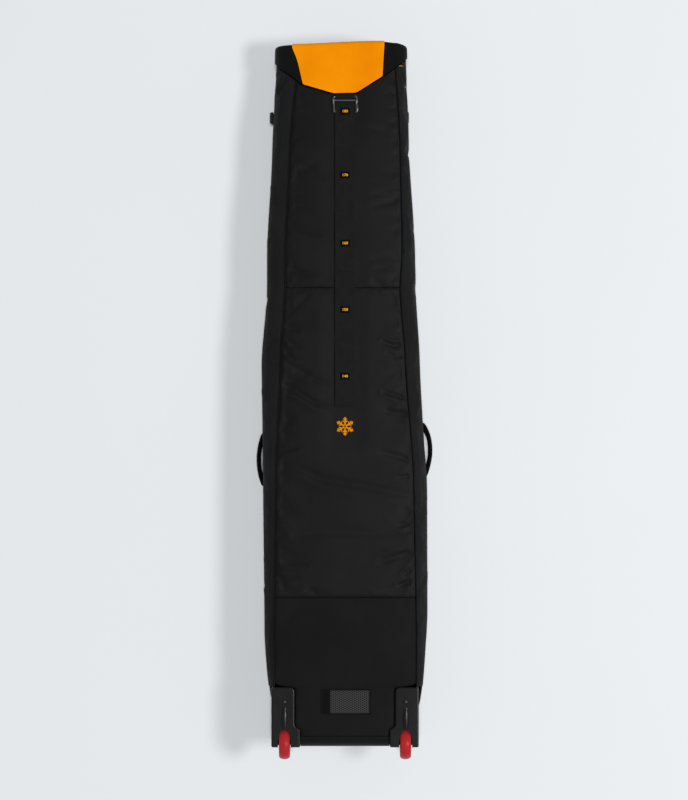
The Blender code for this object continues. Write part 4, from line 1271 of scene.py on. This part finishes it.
def flap_sheet(name, node, edges, cols, offset, lip, thickness, mat, edge_in=0.0, lumps=0.0, seed=0.0):
    """One layer of the flap: turned down over the top end, then along to its free edge.

    `edges` holds the girth of the left and of the right edge, each at the roll and at the free edge.
    """
    rows_down = 6
    rows_roll = 6
    rows_along = 22
    rows = rows_down + rows_roll + rows_along
    grid = np.empty((rows, cols, 3))
    for c in range(cols):
        u = c / (cols - 1)
        for r in range(rows):
            progress = min(1.0, max(0.0, (r - rows_down - rows_roll) / (rows_along - 1)))
            left, right = (lerp(start, end, progress) for start, end in edges)
            s = lerp(left, right, u)
            free = flap_edge_world(s) + edge_in
            here, normal = skin(TOP_Y, s)
            end_y = flap_out(here.x)
            if r < rows_down:
                drop = (lip - FLAP_ROLL) * (1.0 - r / rows_down) + FLAP_ROLL
                point = Vector((here.x, end_y - 0.006 + offset, here.z)) - normal * (drop - offset)
            elif r < rows_down + rows_roll:
                angle = math.radians(90.0 * (r - rows_down) / rows_roll)
                radius = FLAP_ROLL
                back = end_y - 0.006 + offset - radius * (1.0 - math.cos(angle))
                point = Vector((here.x, back, here.z)) + normal * (offset - radius + radius * math.sin(angle))
            else:
                t = (r - rows_down - rows_roll) / (rows_along - 1)
                start = end_y - 0.006 + offset - FLAP_ROLL
                y = lerp(start, free, t)
                here, normal = skin(min(TOP_Y, y), s)
                ripple = noise.noise(Vector((s * 16.0 + seed, y * 18.0, 4.0)))
                wave = lumps * ripple * math.sin(math.pi * min(1.0, 0.15 + t))
                point = Vector((here.x, y, here.z)) + normal * (offset + wave)
            grid[r, c] = point
    normal = grid_normals(grid)
    flip = 1.0 if normal[rows - 6, cols // 2, 2] > 0.0 else -1.0
    made = thick_sheet(name, grid, thickness, mat, "flap", 70.0, flip)
    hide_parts(node)
    return made, grid, normal * flip


def flap_edge_world(s):
    """Free edge of the flap at one girth."""
    side = -1 if s < 0 else 1
    seam = seam_at(0.87, side) + PIPING_CLEAR
    girth = abs(s)
    if girth <= seam:
        return flap_edge(s)
    half, _ = side_point(0.87, side, min(2.0, (girth - seam) / 0.095))
    return flap_edge(side * half)


def build_flap():
    """Lining, two black wings and the orange middle panel of the flap; the lining's near-black rim past the
    orange's free edge is painted shadow under that edge.
    """
    # The lining is set 4.4 mm past the free edge so that its near-black rim paints the shadow under the
    # flap's edge.
    made, _, _ = flap_sheet("flap_inner_cloth", "flap_lining", ((-0.186, -0.186), (0.180, 0.180)), 45, 0.0058,
        0.030, 0.0020, "lining", -0.0044)
    wings = (((-0.190, -0.190), (-0.1315, -0.1085)), ((0.1008, 0.0965), (0.184, 0.184)))
    for (side, word), edges in zip(SIDES, wings):
        made, grid, normal = flap_sheet("flap_wing_cloth_" + word, "flap_wing_" + word, edges, 15, 0.0086,
            0.045, 0.0020, "wing", 0.0, 0.0014, side * 3.0)
        edge_stitch("wing_stitch_" + word, grid, normal, "black_thread")
    edges = ((-0.1312, -0.1072), (0.1004, 0.0955))
    made, grid, normal = flap_sheet("flap_orange_cloth", "flap_orange_panel", edges, 45, 0.0108, 0.028,
        0.0026, "orange", 0.0, 0.0016, 1.0)
    edge_stitch("orange_stitch", grid, normal, "thread")


def edge_stitch(name, grid, normal, mat):
    """Stitching a little inside the free edge and sides of one flap layer."""
    rows, cols = grid.shape[:2]
    track = [(r, 1) for r in range(12, rows - 2)]
    track += [(rows - 2, c) for c in range(1, cols - 1)]
    track += [(r, cols - 2) for r in range(rows - 2, 12, -1)]
    path = [(tuple(grid[r, c]), tuple(normal[r, c])) for r, c in track]
    stitches(name, path, "flap", mat, pitch=0.0042, length=0.0028, radius=0.00034, lift=0.0001)


def build_strap():
    """Strap from under the flap, folded round the hook's strap bar."""
    bar = (HOOK_BAR_Y, back_height(0.0, HOOK_BAR_Y) + 0.0054)
    half = 0.0236
    path = [(y, back_height(0.0, y) + 0.0024) for y in (0.806, 0.800, 0.793)]
    path.append((0.7868, back_height(0.0, 0.7868) + 0.0026))
    reach = 0.0026 + 0.0004 + 0.0014
    for i in range(15):
        angle = math.radians(50.0 + 15.7 * i)
        path.append((bar[0] + reach * math.cos(angle), bar[1] + reach * math.sin(angle)))
    across = (-half, -half + 0.0006, -half + 0.004, 0.0, half - 0.004, half - 0.0006, half)
    grid = np.empty((len(path), len(across), 3))
    for r, (y, z) in enumerate(path):
        for c, x in enumerate(across):
            grid[r, c] = (x, y, z)
    normal = grid_normals(grid)
    flip = 1.0 if normal[1, 3, 2] > 0.0 else -1.0
    made = thick_sheet("closure_strap_web", grid, 0.0014, "web", "flap", 60.0, flip)
    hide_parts("closure_strap")


def build_hook():
    """Cast hook: strap bar, bright cross bar, a stout right arm and a thin left arm with turned-in ends."""
    bar = back_height(0.0, HOOK_BAR_Y) + 0.0054
    toe = back_height(0.0, 0.7365) + 0.0036
    mid = lerp(bar, toe, 0.35) + 0.0006
    thin_arm = (
        (-0.0262, 0.7800, bar), (-0.0292, 0.7770, bar), (-0.0304, 0.7700, mid),
        (-0.0290, 0.7600, mid + 0.0006), (-0.0284, 0.7480, toe), (-0.0278, 0.7410, toe),
        (-0.0288, 0.7385, toe),
    )
    stout_arm = (
        (0.0236, 0.7812, bar), (0.0270, 0.7795, bar), (0.0302, 0.7740, bar), (0.0296, 0.7690, mid),
        (0.0292, 0.7600, mid + 0.0006), (0.0308, 0.7490, toe), (0.0298, 0.7410, toe),
        (0.0266, 0.7376, toe),
    )
    pieces = (
        (thin_arm, (0.0024, 0.0032, 0.0034, 0.0028, 0.0027, 0.0038, 0.0026)),
        (stout_arm, (0.0026, 0.0036, 0.0041, 0.0048, 0.0033, 0.0038, 0.0036, 0.0022)),
        ([(x, HOOK_BAR_Y, bar) for x in (-0.0295, -0.010, 0.010, 0.0285)], (0.0022,) * 4),
        ([(x, HOOK_CROSS_Y, mid) for x in (-0.0300, -0.010, 0.010, 0.0295)], (0.0029,) * 4),
    )
    verts = []
    faces = []
    for points, radii in pieces:
        path = rounded(points, 5)
        count = len(path)
        thick = []
        for i in range(count):
            t = i / (count - 1) * (len(radii) - 1)
            k = min(len(radii) - 2, int(t))
            thick.append(lerp(radii[k], radii[k + 1], t - k))
        gather(verts, faces, tube_mesh(path, thick, 14))
    made = piece("closure_hook_cast", verts, faces, "hook", "hook", 50.0)
    mod = made.modifiers.new("Join", "REMESH")
    mod.mode = "VOXEL"
    mod.voxel_size = 0.00045
    mod.use_smooth_shade = True
    bake(made)
    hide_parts("closure_hook")


# ---- handles, tabs and wheels ----
HANDLES = (
    ("left", -1, -0.086, -0.221, 0.2130, 0.2125, 0.2288),
    ("right", 1, -0.058, -0.198, 0.2020, 0.2080, 0.2262),
)
HANDLE_Z = 0.112


def build_handles():
    """Padded webbing carry handles with their stitched patches."""
    for word, side, top, base, root_top, root_base, out_x in HANDLES:
        steps = 40
        rings = []
        edge_path = []
        for i in range(steps + 1):
            t = i / steps
            bow = math.sin(math.pi * t) ** 0.72
            y = lerp(top, base, t)
            half = 0.0070 + 0.0082 * bow
            thick = 0.5 * (0.0118 + 0.0040 * (1.0 - smooth((bow - 0.50) / 0.40)))
            root = lerp(root_top, root_base, t) + 0.0020
            outer = lerp(root, out_x, bow) + 0.0004 * noise.noise(Vector((0.0, y * 60.0, 3.0)))
            mid = side * (outer - thick)
            sag = 0.0012 * noise.noise(Vector((0.0, y * 30.0, side * 2.0)))
            ring = []
            for ca, sa in circle(16):
                px = mid + side * thick * squared(ca, 0.75)
                pz = HANDLE_Z + sag + half * squared(sa, 0.75)
                ring.append((px, y, pz))
            rings.append(ring)
            if 0.22 < t < 0.78:
                edge_path.append(((mid + side * 0.2 * thick, y, HANDLE_Z + sag + half * 0.99),
                    (side * 0.3, 0.0, 0.95)))
        made = loft_rings("side_handle_web_" + word, rings, "handle", "handle_" + word,
            False, 60.0)
        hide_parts("side_handle_" + word)
        stitches("handle_stitch_up_" + word, edge_path, "handle_" + word, pitch=0.0040, radius=0.00034)
        low_path = [((x, y, 2.0 * HANDLE_Z - z), (n[0], 0.0, -n[2])) for (x, y, z), n in edge_path]
        stitches("handle_stitch_low_" + word, low_path, "handle_" + word, pitch=0.0040, radius=0.00034)
        for end in ("top", "base"):
            build_patch("handle_patch_%s_%s" % (word, end), side)


def build_patch(node, side):
    """Soft square patch with one row of stitching along its far edge."""
    low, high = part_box(node)
    x = high.x if side > 0 else low.x
    size = high - low
    grid = np.empty((11, 11, 3))
    for r in range(11):
        for c in range(11):
            y = lerp(high.y, low.y, r / 10)
            z = lerp(low.z, high.z, c / 10)
            swell = 0.0005 * math.sin(math.pi * r / 10) * math.sin(math.pi * c / 10)
            grid[r, c] = (x + side * (swell - 0.0003), y, z)
    normal = grid_normals(grid)
    flip = 1.0 if normal[5, 5, 0] * side > 0.0 else -1.0
    made = thick_sheet(node.replace("handle_patch", "anchor_patch"), grid, size.x - 0.0002, "web", "shell",
        60.0, flip)
    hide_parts(node)
    inset = 0.003
    y0, y1, z0, z1 = low.y + inset, high.y - inset, low.z + inset, high.z - inset
    far = y1 if node.endswith("top") else y0
    path = [((x + side * 0.0004, far, z), (side, 0.0, 0.0)) for z in (z0, z1)]
    stitches(node.replace("handle_patch", "anchor_stitch"), path, "shell", pitch=0.0030, length=0.0022,
        radius=0.0003)


def build_tabs():
    """Folded webbing tabs beside the top end."""
    for side, word in SIDES:
        low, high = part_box("side_tab_" + word)
        size = high - low
        rings = []
        for i in range(9):
            t = i / 8
            z = lerp(low.z, high.z, t)
            thick = 0.5 * size.x
            out = side * ((0.0075 if side < 0 else 0.0010) * math.sin(math.pi * t) ** 0.7)
            mx = 0.5 * (low.x + high.x) + out
            ring = []
            for ca, sa in circle(12):
                my = 0.5 * (low.y + high.y) + 0.5 * size.y * squared(sa, 0.35)
                ring.append((mx + thick * squared(ca, 0.5), my, z))
            rings.append(ring)
        made = loft_rings("tab_loop_" + word, rings, "web", "shell", False, 60.0)
        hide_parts("side_tab_" + word)


def lathe(profile, sides, x_sign, place):
    """Vertices and faces of a ring turned about the wheel axle; profile of (radius, along)."""
    verts = []
    faces = []
    count = len(profile)
    for ca, sa in circle(sides):
        for radius, along in profile:
            verts.append((place[0] + x_sign * along, place[1] + radius * ca, place[2] + radius * sa))
    for k in range(sides):
        m = (k + 1) % sides
        for i in range(count):
            j = (i + 1) % count
            faces.append((k * count + i, k * count + j, m * count + j, m * count + i))
    return verts, faces


# radius and share of the half width, from the hub's seat to the middle of the tread
TYRE_PROFILE = (
    (0.0272, 0.66), (0.0288, 0.86), (0.0308, 0.97), (0.0328, 1.0), (0.0346, 0.96),
    (0.0362, 0.86), (0.0376, 0.71), (0.0386, 0.54), (0.0390, 0.47), (0.0388, 0.43),
    (0.0393, 0.38), (0.0398, 0.20), (0.0400, 0.0),
)


def build_wheels():
    """Tyres with a moulded tread band, and ribs on the faces of the hubs."""
    for side, word in SIDES:
        place = (side * WHEEL_X, AXLE_Y, AXLE_Z)
        half = 0.014
        tyre = [(radius, share * half) for radius, share in TYRE_PROFILE]
        tyre += [(radius, -along) for radius, along in reversed(tyre[:-1])]
        verts, faces = lathe(tyre, 96, side, place)
        made = piece("wheel_tread_" + word, verts, faces, "wheel", "wheel_" + word, 60.0)
        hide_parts("wheel_tyre_" + word)
        verts = []
        faces = []
        for face_side in (-1, 1):
            for k in range(8):
                angle = math.radians(45.0 * k)
                a = Vector((0.0, math.cos(angle), math.sin(angle)))
                x = place[0] + face_side * 0.0056
                start = Vector((x, place[1], place[2])) + a * 0.0150
                end = Vector((x, place[1], place[2])) + a * 0.0264
                rib = (start, start.lerp(end, 0.5), end)
                gather(verts, faces, tube_mesh(rib, (0.0017, 0.0015, 0.0017), 8))
        piece("wheel_ribs_" + word, verts, faces, "hub", "wheel_" + word)


def solid_tool(name, verts, faces):
    """Solid used once in a boolean."""
    tool = bpy.data.objects.new(name, mesh_from(name, verts, faces))
    bpy.context.scene.collection.objects.link(tool)
    return tool


def prism(outline, low, high):
    """Vertices and faces of an outline stretched from one height to another."""
    count = len(outline)
    verts = [(x, y, low) for x, y in outline] + [(x, y, high) for x, y in outline]
    faces = [tuple(range(count)), tuple(range(count, 2 * count))]
    for i in range(count):
        j = (i + 1) % count
        faces.append((i, j, count + j, count + i))
    return verts, faces


def block(side, x0, x1, y0, y1, z0, z1):
    """Box on one side of the bag."""
    return prism([(side * x, y) for x, y in ((x0, y0), (x1, y0), (x1, y1), (x0, y1))], z0, z1)


def rod(radius, x0, x1, y, z, sides=24):
    """Cylinder across the bag."""
    verts = [(x, y + radius * ca, z + radius * sa) for x in (x0, x1) for ca, sa in circle(sides)]
    faces = [tuple(range(sides)), tuple(range(sides, 2 * sides))]
    for k in range(sides):
        m = (k + 1) % sides
        faces.append((k, m, sides + m, sides + k))
    return verts, faces


def disc_tool(x, y, z0, z1, radius, sides=32):
    """Upright cylinder."""
    return prism([(x + radius * ca, y + radius * sa) for ca, sa in circle(sides)], z0, z1)


def carve(obj, shapes, operation="DIFFERENCE"):
    """Boolean with several throwaway tools, then bake."""
    tools = []
    for verts, faces in shapes:
        tool = solid_tool("tool_tmp", verts, faces)
        mod = obj.modifiers.new("Cut", "BOOLEAN")
        mod.object = tool
        mod.operation = operation
        mod.solver = "EXACT"
        tools.append(tool)
    bake(obj)
    for tool in tools:
        bpy.data.objects.remove(tool)


def dome(cx, cy, cz, rx, ry, rz, sides=28, rings=10):
    """Vertices and faces of an ellipsoid."""
    verts = [(cx, cy, cz + rz)]
    for i in range(1, rings):
        tilt = math.pi * i / rings
        for k in range(sides):
            turn = 2.0 * math.pi * k / sides
            verts.append((cx + rx * math.sin(tilt) * math.cos(turn),
                cy + ry * math.sin(tilt) * math.sin(turn), cz + rz * math.cos(tilt)))
    verts.append((cx, cy, cz - rz))
    faces = []
    last = len(verts) - 1
    for k in range(sides):
        m = (k + 1) % sides
        faces.append((0, 1 + k, 1 + m))
        for i in range(rings - 2):
            a = 1 + i * sides
            faces.append((a + k, a + sides + k, a + sides + m, a + m))
        a = 1 + (rings - 2) * sides
        faces.append((a + k, last, a + m))
    return verts, faces


def build_housings():
    """Moulded wheel corners: rounded shell, long ridge, wheel slot and screw recess."""
    for side, word in SIDES:
        inner = HOUSING_IN_X
        outer = HOUSING_OUT_X
        flare = HOUSING_FLARE_X
        plan = [(outer, -0.884), (outer, HOUSING_TOP_Y - 0.006)]
        plan += [(outer - 0.006 + 0.006 * math.cos(a),
            HOUSING_TOP_Y - 0.006 + 0.006 * math.sin(a)) for a in (0.4, 0.8, 1.2, 1.57)]
        plan += [(inner + 0.011 - 0.011 * math.sin(a),
            HOUSING_TOP_Y - 0.011 + 0.011 * math.cos(a)) for a in (0.0, 0.3, 0.6, 0.9, 1.2, 1.57)]
        plan += [(inner, -0.800), (inner, -0.826)]
        plan += [(lerp(inner, flare, smooth(t)), -0.826 - 0.016 * t) for t in (0.25, 0.45, 0.65, 0.85, 1.0)]
        plan += [(flare, -0.848), (flare, -0.884)]
        outline = [(side * x, y) for x, y in plan]
        verts, faces = prism(outline, HOUSING_FLOOR_Z, HOUSING_BACK_Z)
        made = piece("wheel_corner_" + word, verts, faces, "housing", "shell")
        mod = made.modifiers.new("Edge", "BEVEL")
        mod.width = 0.0042
        mod.segments = 4
        mod.limit_method = "ANGLE"
        mod.angle_limit = math.radians(50.0)
        bake(made)
        ridge = dome(side * WHEEL_X, -0.8120, HOUSING_BACK_Z - 0.0020, 0.0085, 0.0350, 0.0062)
        brow = dome(side * WHEEL_X, AXLE_Y, HOUSING_BACK_Z - 0.0060, 0.0215, 0.0440, 0.0085)
        carve(made, (ridge, brow), "UNION")
        low_x = inner + 0.004
        high_x = outer - 0.004
        cuts = [
            block(side, 0.10, 0.25, -0.95, -0.884, 0.10, 0.30),
            block(side, low_x, high_x, -0.822, HOUSING_TOP_Y - 0.005, 0.10, 0.2330),
            block(side, low_x, high_x, BASE_Y + 0.004, -0.81, 0.10, 0.161),
            dome(side * WHEEL_X, AXLE_Y, AXLE_Z, 0.0206, 0.0475, 0.0475, 48, 24),
            rod(0.0043, side * WHEEL_X - 0.1, side * WHEEL_X + 0.1, AXLE_Y, AXLE_Z),
            disc_tool(side * WHEEL_X, -0.768, 0.2375, 0.25, 0.0066),
            disc_tool(side * WHEEL_X, -0.768, 0.2300, 0.25, 0.0031),
        ]
        carve(made, cuts)
        for face in made.data.polygons:
            face.use_smooth = True
        made.data.set_sharp_from_angle(angle=math.radians(35.0))
        mod = made.modifiers.new("Normals", "WEIGHTED_NORMAL")
        mod.keep_sharp = True
        mod.weight = 90
        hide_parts("wheel_housing_" + word)


def build_seams():
    """Rows of stitching beside every seam."""
    seams = (
        ("upper", SEAM_UPPER_Y, (0.0045, -0.0045)), ("lower", SEAM_LOWER_Y, (0.0045, -0.0050)),
        ("base", SEAM_BASE_Y, (0.0060, -0.0042)),
    )
    for word, y, spans in seams:
        for i, step in enumerate(spans):
            here = y + step
            left = -spread(here)[2] + PIPING_CLEAR + 0.003
            right = spread(here)[3] - PIPING_CLEAR - 0.003
            path = []
            for k in range(60):
                x = lerp(left, right, k / 59)
                if word == "base" and abs(x) > 0.110:
                    continue
                path.append(((x, here, back_height(x, here) + 0.0004), UP))
            stitches("cross_stitch_%s_%d" % (word, i), path, "shell", pitch=0.0048, radius=0.00036)
    for side, word in SIDES:
        path = []
        for k in range(240):
            y = lerp(0.780, -0.726, k / 239)
            x = side * (seam_at(y, side) - PIPING_CLEAR - 0.0042)
            path.append(((x, y, back_height(x, y) + 0.0002), UP))
        stitches("edge_stitch_" + word, path, "shell", pitch=0.0048, radius=0.00036)
        path = []
        for k in range(240):
            y = lerp(0.800, -0.726, k / 239)
            half, z = side_point(y, side, 0.10)
            path.append(((side * half, y, z + 0.0006), (side * 0.7, 0.0, 0.7)))
        stitches("wall_stitch_" + word, path, "shell", pitch=0.0048, radius=0.00036)


def build_details():
    """Two small orange bartacks by the top right corner."""
    path = []
    for k in range(12):
        x = lerp(0.1360, 0.1525, k / 11)
        z = top_of_side(x, 0.861)
        if z > spread(0.861)[4] - 0.014:
            path.append(((x, 0.8610, z + 0.0008), UP))
    stitches("corner_bartack", path, "shell", "thread", pitch=0.0013, length=0.0012, radius=0.0012,
        lift=0.0002)
    near = spread(0.808)[1] - 0.0034
    z = top_of_side(near, 0.808) + 0.0008
    path = []
    for t in (0.0, 0.25, 0.5, 0.75, 1.0):
        path.append(((near + 0.0018 * t, 0.8105 - 0.0050 * t, z - 0.0006 * t), UP))
    stitches("corner_tack", path, "shell", "thread", pitch=0.0013, length=0.0012, radius=0.0011, lift=0.0002)


def top_of_side(x, y):
    """Height of the side wall's upper skin above one place on the floor."""
    side = -1 if x < 0 else 1
    best = side_point(y, side, 0.0)[1]
    for i in range(41):
        half, z = side_point(y, side, i / 40)
        if half <= abs(x):
            best = z
    return best


# ---- finishes on the pieces kept as they are ----
KEPT = {
    "piping_left": "piping", "piping_right": "piping",
    "housing_screw_left": "steel", "housing_screw_right": "steel",
    "axle_left": "steel", "axle_right": "steel",
    "wheel_bearing_left": "steel", "wheel_bearing_right": "steel",
    "wheel_hub_left": "hub", "wheel_hub_right": "hub",
    "zip_chain": "zip", "zip_slider": "steel", "zip_pull": "web", "card_window_mesh": "mesh",
    "base_frame_plate": "stiff", "inside_strap_upper": "web", "inside_strap_lower": "web",
    "inside_buckle_upper": "stiff", "inside_buckle_lower": "stiff",
}
KEPT.update({"length_tag_" + word: "tag" for word, _ in TAGS})


def dress_kept():
    """Better finishes on the carried-over pieces' own slots."""
    for node, key in KEPT.items():
        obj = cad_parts[node]
        if not obj.material_slots:
            obj.data.materials.append(MATS[key])
        for place in obj.material_slots:
            place.material = MATS[key]


# ---- floor, light and camera ----
WORLD_FILL = 0.13
KEY_PLACE = (4.80, -0.30, 8.0)
KEY_SIZE = 1.7
KEY_POWER = 268.0
OVERHEAD_ANGLE = math.radians(7.0)
OVERHEAD = 1.95
CAMERA_PLACE = (-0.0026, 0.0013, 8.2)
CAMERA_LENS = 93.75


def build_stage():
    """Pale paper floor, soft daylight from the right and the camera above."""
    scene = bpy.context.scene
    bpy.ops.mesh.primitive_plane_add(size=14.0, location=(0.0, 0.0, 0.0))
    floor = bpy.context.object
    floor.name = "floor"
    n = Nodes("paper_floor", (0.800, 0.828, 0.852), 0.9)
    n.tint(0.006, n.noise(2.0, 2.0), 0.3)
    n.bsdf.inputs["Specular IOR Level"].default_value = 0.1
    floor.data.materials.append(n.mat)
    world = bpy.data.worlds.new("studio")
    world.use_nodes = True
    sky = world.node_tree.nodes["Background"]
    sky.inputs["Color"].default_value = (1.0, 1.0, 1.0, 1.0)
    sky.inputs["Strength"].default_value = WORLD_FILL
    scene.world = world
    for name, kind, place, size, power in (
        ("key", "AREA", KEY_PLACE, KEY_SIZE, KEY_POWER),
        ("overhead", "SUN", (0.0, 0.0, 9.0), OVERHEAD_ANGLE, OVERHEAD),
    ):
        data = bpy.data.lights.new(name, kind)
        data.energy = power
        if kind == "AREA":
            data.shape = "DISK"
            data.size = size
        else:
            data.angle = size
        light = bpy.data.objects.new(name, data)
        light.location = place
        light.rotation_euler = (Vector((0.0, 0.0, 0.1)) - Vector(place)).to_track_quat("-Z", "Y").to_euler()
        light.visible_glossy = kind == "AREA"
        scene.collection.objects.link(light)
    data = bpy.data.cameras.new("photo_view")
    data.sensor_fit = "VERTICAL"
    data.sensor_height = 24.0
    data.lens = CAMERA_LENS
    camera = bpy.data.objects.new("photo_view", data)
    camera.location = CAMERA_PLACE
    camera.rotation_euler = (0.0, 0.0, 0.0)
    scene.collection.objects.link(camera)
    scene.camera = camera
    scene.view_settings.view_transform = "Standard"


make_materials()
build_back()
build_sides()
build_ends()
build_front()
build_webbing()
build_badge()
build_window()
build_flap()
build_strap()
build_hook()
build_handles()
build_tabs()
build_wheels()
build_housings()
build_seams()
build_details()
dress_kept()
build_stage()
